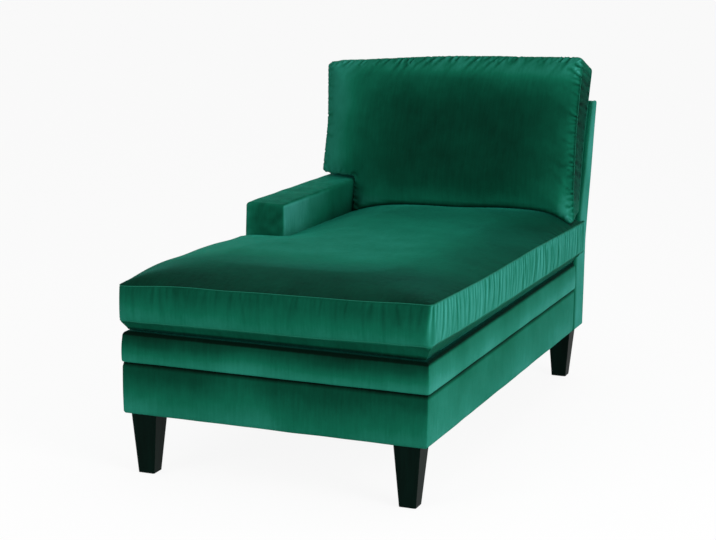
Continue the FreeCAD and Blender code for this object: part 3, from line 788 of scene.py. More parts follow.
def seat_cushion():
    """T-shaped seat cushion: crowned top, puckered boxing and crowned underside."""
    rear = float(lean_limit(SEAT_HIGH_SEAM, SEAT_GAP))
    corners, loop = seat_outline(rear)
    sides = [[corners[k], corners[(k + 1) % 8]] for k in (0, 1, 4, 5, 6, 7)]
    along, total = loop_lengths(loop)
    count = len(loop)
    outward = loop_normals(loop)
    beside_frame = (loop[:, 1] > rear - 0.004) & (loop[:, 0] < SEAT_SIDE - 0.001)

    flat, triangles = filled(loop, FACE_STEP, RIM_ROWS)
    distance, exact, place = softened_distance(flat, sides, loop)
    low_seam, high_seam = seat_seams(flat, loop, rear)
    underside = np.c_[flat, low_seam - (low_seam - SEAT_UNDER) * crown(distance, 0.0155, 1.0)]
    crowned = np.c_[flat, seat_top(flat, high_seam, distance, exact)]

    on_left = smooth_step(-loop[:, 0], SEAT_SIDE - 0.03, SEAT_SIDE - 0.004)
    on_right = smooth_step(loop[:, 0], SEAT_SIDE - 0.03, SEAT_SIDE - 0.004)
    free = np.where(beside_frame, 0, 1)
    rings = []
    for level in range(1, LEVELS):
        v = level / LEVELS
        wave = field(np.c_[loop, np.full(count, v * 0.1)], 9.0, 4) * 0.0022
        out = (0.0065 * 4 * v * (1 - v) * (1 - 0.8 * on_left - 0.7 * on_right) + wave) * free
        spot = loop + outward * out[:, None]
        rings.append(np.c_[spot, low_seam[:count] * (1 - v) + high_seam[:count] * v])
    points, faces, bases = cushion_form(underside, triangles, rings, crowned, triangles)
    size, last = len(flat), bases[-1]

    held = list(range(count)) + list(range(last, last + count))
    reach = np.full(len(points), 0.006)
    reach[size:last] = np.tile(0.006 - 0.004 * on_right, LEVELS - 1)
    points = inflated(points, faces, held, reach)

    def crown_weight(x, y):
        return 0.7 if x > SEAT_SIDE - 0.02 and y > 0.1 else 0.35

    def boxing_weight(x, y):
        if x > SEAT_SIDE - 0.01:
            return 0.7 + 0.5 * float(smooth_step(y, -0.5, 0.4))
        return 0.16 if y < SEAT_FRONT + 0.03 else 0.35

    def low_weight(x, y):
        return 0.3 * boxing_weight(x, y)

    folds = np.zeros(len(points))
    crown_folds = pucker_set(5, loop, along, 0.035, 0.0012, 0.016, (0.003, 0.005), (-0.3, 0.3), crown_weight)
    folds[last:] = fold_depth(crown_folds, place, exact, total)
    widths, slants = (0.0019, 0.0040), (-0.2, 0.2)
    upper_folds = pucker_set(11, loop, along, 0.0145, 0.0036, 0.075, widths, slants, boxing_weight)
    lower_folds = pucker_set(12, loop, along, 0.020, 0.0034, 0.030, widths, slants, low_weight)
    for level in range(1, LEVELS):
        v = level / LEVELS
        depth = fold_depth(upper_folds, along, np.full(count, (1 - v) * SEAT_BOXING), total)
        depth += fold_depth(lower_folds, along, np.full(count, v * SEAT_BOXING), total)
        folds[bases[level] : bases[level] + count] = depth * free
    points = pressed(points, faces, folds, held)

    limit = lean_limit(points[:, 2], SEAT_GAP) + 0.06 * (points[:, 0] > HALF + 0.0005)
    points[:, 1] = np.minimum(points[:, 1], limit)
    points[:, 2] = np.maximum(points[:, 2], SEAT_UNDER)
    piece = add_piece(
        "seat_cushion",
        points,
        faces,
        body="seat_cushion",
        replaced=["seat_cushion_" + part for part in ("cover", "foam", "upper_fibre", "lower_fibre")],
        sharp=58.0,
        weld=False,
    )
    region = np.zeros(len(points))
    region[count:size] = -1
    region[last + count :] = 1
    return piece, points[last : last + count], points[:count], folds, region


def lean_place(x, s, n):
    """Place in the frame of a point on the leaning face: across, up the slope, out of it."""
    sine, cosine = math.sin(INSIDE_LEAN), math.cos(INSIDE_LEAN)
    return np.stack([x, BACK_FRONT + s * sine - n * cosine, BEND + s * cosine + n * sine], -1)


# Seams of the back cushion's face and rear: across, up the slope, and the radius of each corner.
FACE_SEAM = [
    (-0.279, 0.024, 0.020),
    (0.10, 0.060, 0.5),
    (0.300, 0.064, 0.5),
    (0.424, 0.046, 0.016),
    (0.410, 0.160, 0.5),
    (0.399, 0.340, 0.8),
    (0.396, 0.555, 0.017),
    (-0.025, 0.542, 2.0),
    (-0.425, 0.506, 0.017),
    (-0.402, 0.320, 0.6),
    (-0.399, 0.156, 0.012),
    (-0.293, 0.152, 0.010),
]
REAR_SEAM = [
    (-0.288, 0.079, 0.024),
    (0.10, 0.079, 0.5),
    (0.300, 0.079, 0.5),
    (0.4075, 0.079, 0.024),
    (0.4035, 0.160, 0.5),
    (0.3980, 0.340, 0.8),
    (0.4000, 0.548, 0.014),
    (0.0, 0.549, 2.0),
    (-0.4075, 0.530, 0.014),
    (-0.4005, 0.320, 0.6),
    (-0.4015, 0.172, 0.016),
    (-0.288, 0.172, 0.012),
]


def back_cushion(seat):
    """Back cushion whose ear stands over the arm, in the frame of the leaning face."""
    front_corners, rear_corners = [row[:2] for row in FACE_SEAM], [row[:2] for row in REAR_SEAM]
    front = fillet_line(front_corners, [row[2] for row in FACE_SEAM], SEAM_STEP)
    rear = fillet_line(rear_corners, [row[2] for row in REAR_SEAM], 0.003)
    rear = matched(front, front_corners, rear, rear_corners)
    count = len(front)
    along, total = loop_lengths(front)
    seam = 0.110
    front_out, rear_out = loop_normals(front), loop_normals(rear)

    flat, triangles = filled(front, FACE_STEP, RIM_ROWS)
    closed = front_corners + front_corners[:1]
    sides = [closed[start:end] for start, end in ((0, 4), (3, 7), (6, 9), (8, 11), (10, 12), (11, 13))]
    distance, exact, place = softened_distance(flat, sides, front)
    rise = 0.060 * crown(distance, 0.15, 2.5)
    sway = field(np.c_[flat, flat[:, 0] * 0], 4.0, 8) * 0.004 * crown(exact, 0.1, 1.5)
    face = lean_place(flat[:, 0], flat[:, 1], seam + rise + sway)

    bottom = smooth_step(rear[:, 1], 0.11, 0.085)
    bevel = 0.005 + 0.013 * bottom
    back_flat, back_triangles = filled(rear - rear_out * bevel[:, None], 0.012)
    free = smooth_step(back_flat[:, 1], 0.445, 0.50)
    back_distance = loop_distance(back_flat, rear)[0]
    back_n = 0.0011 - 0.012 * free * crown(back_distance, 0.06, 2.0)
    back_face = lean_place(back_flat[:, 0], back_flat[:, 1], back_n)

    at_sides = smooth_step(np.abs(rear[:, 0]), 0.38, 0.395)
    start_n = bevel + 0.0003
    rings = []
    for level in range(LEVELS):
        v = level / LEVELS
        n = start_n + (seam - start_n) * v
        spot = rear * (1 - v) + front * v
        out = unit(front_out * v + rear_out * (1 - v))
        bulge = 0.006 * 4 * v * (1 - v) * (1 - 0.7 * bottom) * (1 - 0.8 * at_sides)
        wave = field(np.c_[spot, n], 9.0, 14) * 0.002 * v
        spot = spot + out * (bulge + wave)[:, None]
        rings.append(lean_place(spot[:, 0], spot[:, 1], n))
    points, faces, bases = cushion_form(back_face, back_triangles, rings, face, triangles)
    size, last = len(back_flat), bases[-1]

    held = list(range(size, size + count)) + list(range(last, last + count)) + list(range(size))
    reach = np.full(len(points), 0.008)
    reach[size:last] = 0.002
    points = inflated(points, faces, held, reach)

    def face_weight(x, s):
        if s > 0.49:
            return 1.0
        if abs(x) > 0.36:
            return 0.3
        return 0.7 if x < -0.26 else 0.0

    def rim_weight(x, s):
        return 1.0 if abs(x) > 0.37 or s > 0.49 else 0.25

    def boxing_weight(x, s):
        return 0.25 if s < 0.12 and x < 0.38 else 0.9

    folds = np.zeros(len(points))
    top_folds = pucker_set(21, front, along, 0.026, 0.0038, 0.034, (0.0022, 0.0045), (0.3, 1.0), face_weight)
    rim_folds = pucker_set(22, front, along, 0.022, 0.0016, 0.020, (0.0018, 0.0032), (-0.3, 0.3), rim_weight)
    folds[last:] = fold_depth(top_folds, place, exact, total) + fold_depth(rim_folds, place, exact, total)
    box_folds = pucker_set(31, front, along, 0.028, 0.0026, 0.04, (0.0026, 0.005), (-0.3, 0.3), boxing_weight)
    for level in range(1, LEVELS):
        v = level / LEVELS
        depth = fold_depth(box_folds, along, np.full(count, min(v, 1 - v) * 0.08), total)
        folds[bases[1 + level] : bases[1 + level] + count] = depth
    points = pressed(points, faces, folds, slice(last, last + count))

    points = clear_arm(rest_on(points, seat, 0.0012))
    piece = add_piece(
        "back_cushion",
        points,
        faces,
        body="back_cushion",
        replaced=("back_cushion_cover", "back_cushion_insert"),
        sharp=80.0,
        weld=False,
    )
    above = int(np.argmin(np.linalg.norm(front - np.array(front_corners[3]), axis=1)))
    return piece, points[last + above : last + count], points[size : size + count], folds


def matched(front, front_corners, rear, rear_corners):
    """Points of the rear loop that belong to the front loop's, corner by corner."""

    def stations(loop, corners):
        lengths, total = loop_lengths(loop)
        marks = [lengths[np.argmin(np.linalg.norm(loop - np.array(c), axis=1))] for c in corners]
        return lengths, total, np.array(marks)

    lengths, total, marks = stations(front, front_corners)
    rear_lengths, rear_total, rear_marks = stations(rear, rear_corners)
    knots = np.concatenate([marks, [marks[0] + total]])
    rear_knots = np.concatenate([rear_marks, [rear_marks[0] + rear_total]])
    order = lengths.copy()
    order[order < marks[0]] += total
    wanted = np.interp(order, knots, rear_knots) % rear_total
    closed = np.concatenate([rear, rear[:1]])
    closed_lengths = np.concatenate([rear_lengths, [rear_total]])
    return interpolated(wanted, closed_lengths, closed)


def clearance(points, other, way):
    """How far each point is from another piece straight up or down, at most FAR."""
    tree = BVHTree.FromObject(other, bpy.context.evaluated_depsgraph_get())
    gaps = np.full(len(points), FAR)
    for i, p in enumerate(points):
        hit = tree.ray_cast(Vector(p), Vector((0, 0, way)), FAR)[0]
        if hit is not None:
            gaps[i] = abs(hit.z - p[2])
    return gaps


def rest_on(points, below, gap):
    """Lifts the points that would lie in a piece below, so that they rest on it."""
    tree = BVHTree.FromObject(below, bpy.context.evaluated_depsgraph_get())
    lifted = points.copy()
    for i, p in enumerate(points):
        if p[2] > SEAT_HIGH_SEAM + MEET_ABOVE:
            continue
        hit = tree.ray_cast(Vector((p[0], p[1], 1.0)), Vector((0, 0, -1)))[0]
        if hit is not None and hit.z > SEAT_HIGH_SEAM - MEET_BELOW and p[2] < hit.z + gap:
            lifted[i, 2] = hit.z + gap
    return lifted


def clear_arm(points):
    """Keeps the points of the back cushion out of the arm."""
    moved = points.copy()
    low = (points[:, 2] < ARM_CREST) & (points[:, 0] < BESIDE_ARM)
    nearer_top = low & (points[:, 2] - ARM_TOP > -0.03) & (points[:, 0] < ARM_INNER - 0.012)
    moved[nearer_top, 2] = ARM_CREST
    beside = low & ~nearer_top
    moved[beside, 0] = BESIDE_ARM
    return moved


seat, seat_upper, seat_lower, seat_folds, seat_region = seat_cushion()
back, back_front, back_rear, back_folds = back_cushion(seat)


def seat_painted_light(piece, region):
    """Painted light and shade on the seat cushion: dark front band, darker right part, highlight field behind
    the band, boxing dark at the top and light below, lighter +X walls, a highlight at the left edge, darker
    underside and contact shadow at the deck.
    """
    points, way = coords(piece), normals(piece)
    from_front = points[:, 1] - SEAT_FRONT
    top, under, wall = region > 0, region < 0, region == 0
    # Painted contact shadow where the underside meets the deck, and a painted dark band along the front edge.
    deck_contact_shadow = 1 - smooth_step(points[:, 2], SEAT_UNDER + 0.002, SEAT_UNDER + 0.011)
    front_band_shade = 1 - smooth_step(from_front, 0.0, 0.40)
    # The right part of the top painted darker, and a painted highlight field behind the front band.
    right_part_shade = smooth_step(points[:, 0], 0.10, 0.42)
    light = smooth_step(from_front, 0.10, 0.45) * (1 - smooth_step(from_front, 0.55, 1.25))
    # Boxing painted dark at the top and light towards the bottom, walls facing +X painted lighter, and a
    # painted highlight at the left edge.
    height = (points[:, 2] - SEAT_LOW_SEAM) / (SEAT_HIGH_SEAM - SEAT_LOW_SEAM)
    climb = smooth_step(height, 0.0, 0.9)
    side = smooth_step(way[:, 0], 0.3, 0.8)
    left_edge_highlight = np.exp(-(((points[:, 0] + SEAT_SIDE) / 0.035) ** 2))
    face = (0.28 - 0.62 * climb + 0.2 * left_edge_highlight) * (1 - side) + side * 0.85
    upper = -0.26 + 0.55 * light * (1 - 0.7 * right_part_shade) - 0.66 * front_band_shade - 0.45 * right_part_shade
    # The underside painted darker as shade.
    return top * np.maximum(-0.85, upper) + wall * face - 0.38 * under - 1.6 * deck_contact_shadow


def back_painted_light(piece):
    """Painted light and shade on the back cushion: dark middle with a lighter rim, a highlight stripe inside
    the left edge, lighter lower edge, darker upward faces and dark boxing on the right.
    """
    points, way = coords(piece), normals(piece)
    # Painted sheen: a dark middle and lighter rims, a painted highlight stripe inside the left edge, a
    # lighter lower edge, darker upward faces and a darker right boxing.
    centre = ((points[:, 0] - 0.06) / 0.33) ** 4 + ((points[:, 2] - 0.745) / 0.175) ** 4
    middle = np.exp(-centre * 0.8)
    stripe_highlight = np.exp(-(((points[:, 0] + 0.36) / 0.05) ** 2))
    rim = smooth_step(points[:, 2], 0.915, 0.95)
    low = 1 - smooth_step(points[:, 2], 0.53, 0.60)
    right_rim_highlight = smooth_step(points[:, 0], 0.365, 0.395)
    boxing = smooth_step(way[:, 0], 0.55, 0.85)
    top = smooth_step(way[:, 2], 0.7, 0.95)
    tone = 0.15 - 0.95 * middle + 0.45 * stripe_highlight + 0.35 * rim + 0.55 * right_rim_highlight + 0.25 * low
    return tone - 1.15 * boxing - 0.3 * top


def contact_shade(gaps):
    """How much painted contact shadow falls between two pieces, from 1 where they touch."""
    return 1 - smooth_step(gaps, TOUCHING, OPEN)


def painted_fold_shade(folds):
    """Painted shade that darkens a fold and painted highlight that lightens its shoulders."""
    return np.clip(-folds / DEEP_FOLD, -1, 1)


# Painted contact shadow on the seat under the back cushion, and on the back cushion where it sits on the
# seat.
seat_shadow_under_back = contact_shade(clearance(coords(seat) + (0, 0, LOOK_OFF), back, 1)) * (normals(seat)[:, 2] > 0)
# Folds painted darker, with lighter shoulders.
paint_light_and_tone(seat, seat_painted_light(seat, seat_region) + 0.75 * painted_fold_shade(seat_folds) - 0.6 * seat_shadow_under_back)
back_contact_shadow = contact_shade(clearance(coords(back) - (0, 0, LOOK_OFF), seat, -1))
paint_light_and_tone(back, back_painted_light(back) + 0.65 * painted_fold_shade(back_folds) - 1.0 * back_contact_shadow)
seam_cord("seat_cushion_upper_seam", seat_upper, "seat_cushion")
seam_cord("seat_cushion_lower_seam", seat_lower, "seat_cushion")
seam_cord("back_cushion_front_seam", back_front, "back_cushion", closed=False)
seam_cord("back_cushion_rear_seam", back_rear, "back_cushion")


# Base covers


COVER_END = SEAT_END - GROOVE
END_TURN = 0.006


def base_line():
    """Line round the seat box, from its left side to its right, with outward directions."""
    turn = 0.005
    corners = [(-HALF, BEFORE_ARM), (-HALF, FRONT), (HALF, FRONT), (HALF, COVER_END)]
    line = fillet_line(corners, [0, turn, turn, 0], 0.012, closed=False)
    close = np.array([(HALF, COVER_END - gap) for gap in (0.005, 0.003, 0.0015, 0.0005)])
    line = np.concatenate([line[:-1], close, line[-1:]])
    ahead = np.diff(line, axis=0)
    return line, right_of(np.concatenate([ahead[:1], ahead[:-1] + ahead[1:], ahead[-1:]]))


def swept_cover(name, profile, node, seed):
    """Cover swept round the seat box from a closed profile of (out, height) points."""
    line, outward = base_line()
    rings = []
    for spot, out in zip(line, outward):
        ring = []
        end_gap = min(1.0, (COVER_END - spot[1]) / END_TURN) if spot[0] > 0 else 1.0
        turned = END_TURN * (1 - math.sqrt(max(0.0, 1 - (1 - end_gap) ** 2)))
        for reach, height in profile(spot):
            place = spot + out * (reach - turned * (reach > -0.004))
            if reach < 0:
                place[0] = np.clip(place[0], -HALF - reach, HALF + reach)
                place[1] = max(place[1], FRONT - reach)
            ring.append((place[0], place[1], height))
        rings.append(ring)
    size = len(rings[0])
    points = np.array(rings).reshape(-1, 3)
    faces = ring_faces(len(rings), size, closed=True)
    for start in (0, (len(rings) - 1) * size):
        faces.append(tuple(start + k for k in range(size)))
    piece = add_piece(name, points, faces, replaced=(node,))
    ruffle(piece, 0.0008, 11.0, seed)
    return piece


def lower_profile(spot):
    """Lower panel: it comes out from behind the band and is drawn in towards its hem."""
    corner = math.exp(-min(abs(spot[0] + HALF), abs(spot[0] - HALF)) / 0.05)
    corner *= math.exp(-abs(spot[1] - FRONT) / 0.08)
    drawn = 0.0008 + 0.0010 * corner
    outer = []
    for t in (0.04, 0.1, 0.2, 0.35, 0.5, 0.65, 0.8, 0.9):
        height = HEM + (BAND_SEAM - HEM) * t
        outer.append((0.0018 - drawn * (1 - t) ** 1.4 + 0.0010 * math.sin(math.pi * t), height))
    back = -0.0052
    hem = [(-0.032, HEM + COVER), (-0.032, HEM + 0.0002), (-0.005, HEM), (-0.0012 - drawn, HEM + 0.0010)]
    top = [(-0.0010, BAND_SEAM - 0.003), (-0.0036, BAND_SEAM - 0.0008), (-0.0044, BAND_SEAM + 0.006)]
    top += [(back, BAND_SEAM + 0.006), (back, BAND_SEAM - 0.006), (back, HEM + 0.007), (-0.010, HEM + COVER)]
    return hem + outer + top


def band_profile(spot):
    """Upper band: a rolled lower edge, a full face and a rounded top that turns in over the deck."""
    turn = 0.013
    outer = [(-0.0040, BAND_SEAM + 0.005), (-0.0030, BAND_SEAM + 0.0002), (0.0004, BAND_SEAM - 0.0006)]
    outer += [(0.0030, BAND_SEAM + 0.0008)]
    for t in (0.07, 0.15, 0.3, 0.5, 0.7):
        height = BAND_SEAM + (DECK - turn - BAND_SEAM) * t
        outer.append((0.0028 + 0.0022 * math.sin(math.pi * min(1.0, 0.18 + t * 0.82)), height))
    for k in range(7):
        angle = math.pi / 2 * k / 6
        outer.append((0.0022 - turn + turn * math.cos(angle), DECK - turn + turn * math.sin(angle)))
    outer += [(-0.035, DECK), (-0.0745, DECK), (-0.0745, DECK - COVER), (-0.035, DECK - COVER)]
    outer += [(-turn, DECK - COVER), (-0.006, DECK - turn + 0.004), (-0.005, BAND_SEAM + 0.02)]
    return outer


def cover_painted_light(piece, low, high, dark, light):
    """Painted shade from light at a low height to dark at a high one, lighter on faces turned to +X, a random
    drift of tone, and a painted contact shadow darkest on the lip under the piece above.
    """
    points = coords(piece)
    # Painted shade: darker higher up under the piece above, faces turned to +X painted lighter, and the lip
    # painted darkest as a contact shadow; the drift is random tone.
    climb = smooth_step(points[:, 2], low, high)
    drift = field(points, 4.0, 12) * 0.3
    lip_contact_shadow = smooth_step(points[:, 2], high - 0.010, high - 0.001)
    lip_contact_shadow *= smooth_step(np.maximum(np.abs(points[:, 0]) - HALF, FRONT - points[:, 1]), -0.034, -0.014)
    side = smooth_step(normals(piece)[:, 0], 0.5, 0.9)
    return light + (dark - light) * climb * (1 - 0.5 * side) + drift + 0.42 * side - 1.6 * lip_contact_shadow


lower_panel = swept_cover("lower_panel", lower_profile, "lower_base_cover", 3)
upper_band = swept_cover("upper_band", band_profile, "upper_band_cover", 6)
paint_light_and_tone(lower_panel, cover_painted_light(lower_panel, HEM, BAND_SEAM, -0.55, 0.42))
paint_light_and_tone(upper_band, cover_painted_light(upper_band, BAND_SEAM, DECK, -0.85, 0.50))


# Arm


def arm_cover():
    """Rounded cover of the arm, filled, up to the leaning back."""
    turn, rise, fullness = 0.012, 0.0045, 0.0020
    left, right, foot = -HALF - 0.0035, ARM_INNER, DECK + 0.0003
    corners = [(right, foot), (right, ARM_TOP), (left, ARM_TOP), (left, foot)]
    section = fillet_line(corners, [0, turn, turn, 0], 0.006, closed=False)
    outward = right_of(np.gradient(section, axis=0))
    count = len(section)
    lift = rise * smooth_step(section[:, 1], DECK, ARM_TOP)
    rows = []
    for angle in np.linspace(0.12, math.pi / 2, 7):
        inset = turn * (1 - math.sin(angle))
        ring = section - outward * inset
        depth = np.full(count, ARM_FRONT + turn * (1 - math.cos(angle)))
        rows.append(np.c_[ring[:, 0], depth, ring[:, 1] + lift])
    end = lean_limit(section[:, 1], 0.0006)
    middle = (section[:, 0] - (left + right) / 2) / ((right - left) / 2)
    on_top = smooth_step(section[:, 1], ARM_TOP - 0.004, ARM_TOP)
    for t in np.linspace(0, 1, 52)[1:]:
        y = (ARM_FRONT + turn) * (1 - t) + end * t
        soft = fullness * on_top * (1 - middle**2) * smooth_step(t, 0.0, 0.06) + lift
        rows.append(np.c_[section[:, 0], y, section[:, 1] + soft])
    points = np.concatenate(rows)
    faces = ring_faces(len(rows), count)
    inner = rows[0][:, [0, 2]]
    cap, triangles = filled(inner, 0.009)
    start = len(points)
    bulge = 0.0035 * crown(loop_distance(cap, inner)[0], 0.03, 2.0)
    points = np.concatenate([points, np.c_[cap[:, 0], rows[0][0, 1] - bulge * 0.6, cap[:, 1]]])
    faces += [tuple(start + k for k in f) for f in triangles]
    starts = [k * count for k in range(len(rows))]
    faces.append(tuple(starts[-1] + k for k in range(count)))
    faces.append(tuple(starts + [k + count - 1 for k in reversed(starts)]))
    piece = add_piece("arm", points, faces, replaced=("arm_cover", "arm_pad"), sharp=60.0)
    ruffle(piece, 0.0016, 14.0, 9)
    return piece


def arm_painted_light(piece):
    """Painted light and shade on the arm: inner face lighter higher up and darker towards the back, darker
    front with a highlight at its left rim, contact shadow under the back cushion, and random mottle.
    """
    points, way = coords(piece), normals(piece)
    # Painted light and shade: the inner face lighter higher up and darker towards the back, the front face
    # darker with a painted highlight at its left rim, and painted shadow under the back cushion; the noise is
    # random mottle.
    back_along = smooth_step(points[:, 1], ARM_FRONT, ARM_FRONT + 0.55)
    inner_face = smooth_step(way[:, 0], 0.5, 0.9)
    upward = smooth_step(way[:, 2], 0.5, 0.9)
    climb = smooth_step(points[:, 2], DECK + 0.06, ARM_TOP)
    front_face = smooth_step(-way[:, 1], 0.5, 0.9)
    left_rim_highlight = np.exp(-(((points[:, 0] + HALF) / 0.02) ** 2))
    tone = 0.02 * upward + inner_face * (0.35 + 0.9 * climb - 1.5 * back_along)
    tone += front_face * (-0.18 + 0.5 * left_rim_highlight)
    tone -= 0.8 * contact_shade(clearance(points + (0, 0, LOOK_OFF), back, 1)) * (way[:, 2] > 0)
    return tone + field(points, 9.0, 17) * 0.25 + field(points, 45.0, 18) * 0.35 * (upward + front_face)


arm = arm_cover()
paint_light_and_tone(arm, arm_painted_light(arm))


def side_place(sign, face):
    """Puts (y, z) points of a side panel in the frame, at a side's face."""

    def place(points, out):
        return np.stack([sign * (face + out), points[:, 0], points[:, 1]], -1)

    return place


def as_loop(points, radii, step=0.012):
    """Anticlockwise loop through corners."""
    loop = fillet_line(points, radii, step)
    area = np.sum(loop[:, 0] * np.roll(loop[:, 1], -1) - np.roll(loop[:, 0], -1) * loop[:, 1])
    return loop if area > 0 else loop[::-1]


def rectangle(low_x, low_y, high_x, high_y, radius=0.0):
    """Loop round a rectangle with rounded corners."""
    return as_loop([(low_x, low_y), (high_x, low_y), (high_x, high_y), (low_x, high_y)], [radius] * 4)


ARM_RIM = 0.0183
arm_panel_front = ARM_FRONT + 0.0002
arm_panel_top = ARM_TOP - ARM_RIM
outside_arm = panel(
    "outside_arm_panel",
    as_loop(
        [
            (arm_panel_front, HEM),
            (arm_panel_front, DECK),
            (ARM_FRONT + ARM_RIM, DECK + 0.0002),
            (ARM_FRONT + ARM_RIM, arm_panel_top),
            (float(lean_limit(arm_panel_top, 0.001)), arm_panel_top),
            (COVER_END, BEND),
            (COVER_END, HEM),
        ],
        [0.002, 0, 0, 0.004, 0.002, 0, 0.003],
    ),
    side_place(-1, HALF + 0.0062),
    depth=0.008,
    rim=0.002,
    step=0.016,
    replaced=("outside_arm_cover",),
)
ruffle(outside_arm, 0.0008, 8.0, 21)
paint_light_and_tone(outside_arm, 0.1 + field(coords(outside_arm), 5.0, 22) * 0.35)


# Back frame


def rear_face(height):
    """Y of the leaning outside face at a height above the bend."""
    return BACK_REAR + (height - BEND) * math.tan(OUTSIDE_LEAN)


top_front = float(lean_limit(BACK_TOP, 0.0))
top_rear = rear_face(BACK_TOP)


def back_side(sign, name, node):
    """Side cover of the back frame, with its rounded rim."""
    ahead, behind = 0.0012, 0.0015
    outline = [
        (BACK_FRONT - ahead, HEM),
        (BACK_REAR + behind, HEM),
        (BACK_REAR + behind, BEND),
        (top_rear + behind, BACK_TOP),
        (top_front, BACK_TOP),
        (BACK_FRONT - ahead, BEND),
    ]
    loop = as_loop(outline, [0.002, 0.006, 0.2, 0.008, 0.010, 0.2])
    place = side_place(sign, HALF + 0.0014)
    piece = panel(name, loop, place, depth=0.0074, rim=0.0045, step=0.014, replaced=(node,))
    ruffle(piece, 0.0006, 9.0, 31)
    places = coords(piece)
    # Painted shade along the front rim by the back cushion, and the right side painted lighter than the left
    # as if lit from the right; the noise is random tone.
    groove_shade = 1 - smooth_step(places[:, 1] - lean_limit(places[:, 2], 0.0), 0.0, 0.03)
    light = 0.95 if sign > 0 else 0.35
    paint_light_and_tone(piece, light - 1.0 * groove_shade + field(places, 5.0, 32) * 0.3)


back_side(1, "right_back_side", "right_back_side_cover")
back_side(-1, "left_back_side", "left_back_side_cover")

side_seam = HALF - 0.006
turn_height = BACK_TOP - 0.0145
turn_rear = rear_face(turn_height)


def across_place(at):
    """Puts (x, length) points of a bent panel in the frame along a line of the side view."""

    def place(points, out):
        spot, away = at(points[:, 1])
        return np.stack([points[:, 0], spot[:, 0] + away[:, 0] * out, spot[:, 1] + away[:, 1] * out], -1)

    return place


inside_line, inside_length = line_map(
    [
        (BACK_FRONT, DECK + 0.001),
        (BACK_FRONT, BEND),
        (top_front, BACK_TOP),
        (top_rear, BACK_TOP),
        (turn_rear, turn_height),
    ],
    [0, 0.1, 0.012, 0.012, 0],
)
inside_back = panel(
    "inside_back",
    rectangle(-side_seam, 0, side_seam, inside_length),
    across_place(inside_line),
    depth=0.003,
    rim=0.0015,
    step=0.012,
    replaced=("inside_back_cover", "back_pad"),
    sharp=60.0,
)
outside_line, outside_length = line_map(
    [(turn_rear, turn_height), (BACK_REAR, BEND), (BACK_REAR, HEM)], [0, 0.2, 0]
)
outside_back = panel(
    "outside_back",
    rectangle(-side_seam, 0, side_seam, outside_length),
    across_place(outside_line),
    depth=0.003,
    rim=0.0015,
    step=0.014,
    replaced=("outside_back_cover",),
    sharp=60.0,
)
for piece, seed in ((inside_back, 41), (outside_back, 43)):
    ruffle(piece, 0.0009, 7.0, seed)
    paint_light_and_tone(piece, 0.05 + field(coords(piece), 4.0, seed) * 0.35)


# Deck and dust cover

deck_low, deck_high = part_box("deck_cloth")
deck_loop = as_loop(
    [
        (deck_low.x, deck_low.y),
        (deck_high.x, deck_low.y),
        (deck_high.x, deck_high.y),
        (ARM_INNER + 0.0005, deck_high.y),
        (ARM_INNER + 0.0005, ARM_FRONT - 0.0005),
        (deck_low.x, ARM_FRONT - 0.0005),
    ],
    [0.002] * 6,
)


def level_place(height, way=1):
    """Puts (x, y) points of a level panel in the frame, facing up or down."""

    def place(points, out):
        return np.stack([points[:, 0], points[:, 1], height + way * out], -1)

    return place


deck = panel(
    "deck_cover",
    deck_loop,
    level_place(deck_high.z),
    depth=0.0011,
    rim=0.0006,
    step=0.016,
    replaced=("deck_cloth",),
)
paint_light_and_tone(deck, field(coords(deck), 5.0, 51) * 0.4)

dust_low, dust_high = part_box("dust_cover")
dust_cloth = panel(
    "dust_cloth",
    rectangle(dust_low.x, dust_low.y, dust_high.x, dust_high.y, 0.004),
    level_place(dust_low.z, -1),
    depth=0.0007,
    rim=0.0004,
    step=0.03,
    slot="base_cloth",
    replaced=("dust_cover",),
)


# Camera, light and stage

AZIMUTH = math.radians(20.9034)
ELEVATION = math.radians(11.1368)
ROLL = math.radians(0.7819)
CAMERA_PLACE = Vector((1.76884, -4.82061, 1.43423))
LENS = 93.30


def add_camera():
    """Camera at the photograph's viewing angle."""
    back_way = Vector(
        (
            math.sin(AZIMUTH) * math.cos(ELEVATION),
            -math.cos(AZIMUTH) * math.cos(ELEVATION),
            math.sin(ELEVATION),
        )
    )
    right = (-back_way).cross(Vector((0, 0, 1))).normalized()
    up = right.cross(-back_way)
    cosine, sine = math.cos(ROLL), math.sin(ROLL)
    across = right * cosine + up * sine
    upright = up * cosine - right * sine
    data = bpy.data.cameras.new("camera")
    data.lens = LENS
    data.sensor_width = 36.0
    data.sensor_fit = "HORIZONTAL"
    camera = add_object("camera", data)
    turn = Matrix((across, upright, back_way)).transposed().to_4x4()
    camera.matrix_world = Matrix.Translation(CAMERA_PLACE) @ turn
    bpy.context.scene.camera = camera


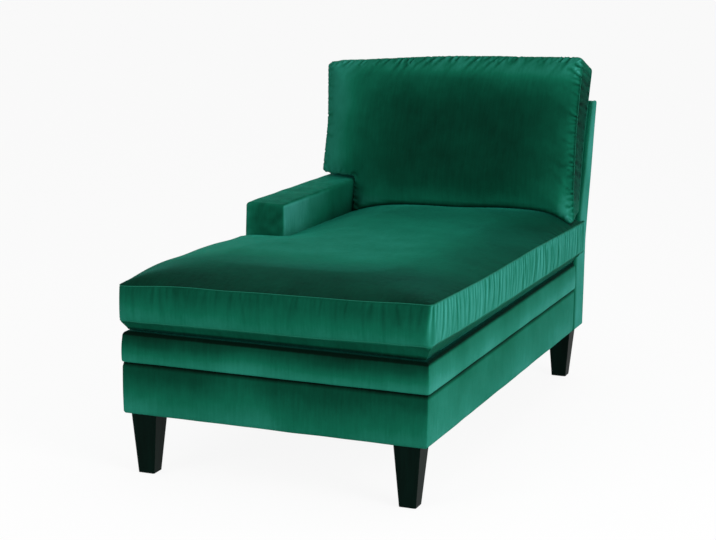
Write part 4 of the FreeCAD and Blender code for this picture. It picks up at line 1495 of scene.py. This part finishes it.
# Lamps: place, target, size and power.
LAMPS = {
    "key": ((4.4, -2.4, 1.9), (0.1, 0.0, 0.4), 2.4, 190.0),
    "fill": ((-2.2, -4.8, 1.6), (0.0, -0.3, 0.4), 2.6, 105.0),
    "top": ((0.2, 0.2, 3.6), (0.0, 0.2, 0.4), 2.4, 26.0),
}
FLOOR_REACH = 60.0
FLOOR_GLOW = 0.91
WORLD_STRENGTH = 0.45
WHITE = (1, 1, 1, 1)


def add_lamp(name, place, target, size, energy):
    """Square soft lamp that faces a target."""
    data = bpy.data.lights.new(name, "AREA")
    data.size = size
    data.energy = energy
    lamp = add_object(name, data)
    lamp.location = place
    lamp.rotation_euler = (Vector(target) - Vector(place)).to_track_quat("-Z", "Y").to_euler()


def seen_ray(tree):
    """1 for rays from the camera, off gloss or through glass, and 0 for others."""
    path = add_node(tree, "LightPath", {}).outputs
    seen = math_node(tree, "MAXIMUM", path["Is Camera Ray"], path["Is Glossy Ray"])
    return math_node(tree, "MAXIMUM", seen, path["Is Transmission Ray"])


def add_floor():
    """Pale floor that keeps the shadow."""
    material, tree, shader = new_material("floor_pale")
    plug(tree, shader, {"Base Color": (0.9, 0.9, 0.9, 1), "Roughness": 0.9, "Specular IOR Level": 0.0})
    glow = add_node(tree, "Emission", {"Color": WHITE}).outputs["Emission"]
    share = math_node(tree, "MULTIPLY", seen_ray(tree), FLOOR_GLOW)
    blend = add_node(tree, "MixShader", {"Fac": share, 1: shader.outputs["BSDF"], 2: glow})
    plug(tree, tree.nodes["Material Output"], {"Surface": blend.outputs["Shader"]})
    far = FLOOR_REACH
    mesh = new_mesh("floor", [(-far, -far, 0), (far, -far, 0), (far, far, 0), (-far, far, 0)], [(0, 1, 2, 3)])
    mesh.materials.append(material)
    add_object("floor", mesh)


def add_world():
    """World that is white to the camera and softer as a light."""
    world = bpy.data.worlds.new("studio")
    bpy.context.scene.world = world
    world.use_nodes = True
    tree = world.node_tree
    strength = math_node(tree, "MULTIPLY_ADD", seen_ray(tree), 1 - WORLD_STRENGTH, WORLD_STRENGTH)
    plug(tree, tree.nodes["Background"], {"Color": WHITE, "Strength": strength})


add_camera()
for name, settings in LAMPS.items():
    add_lamp(name, *settings)
add_floor()
add_world()
bpy.context.scene.view_settings.view_transform = "Standard"
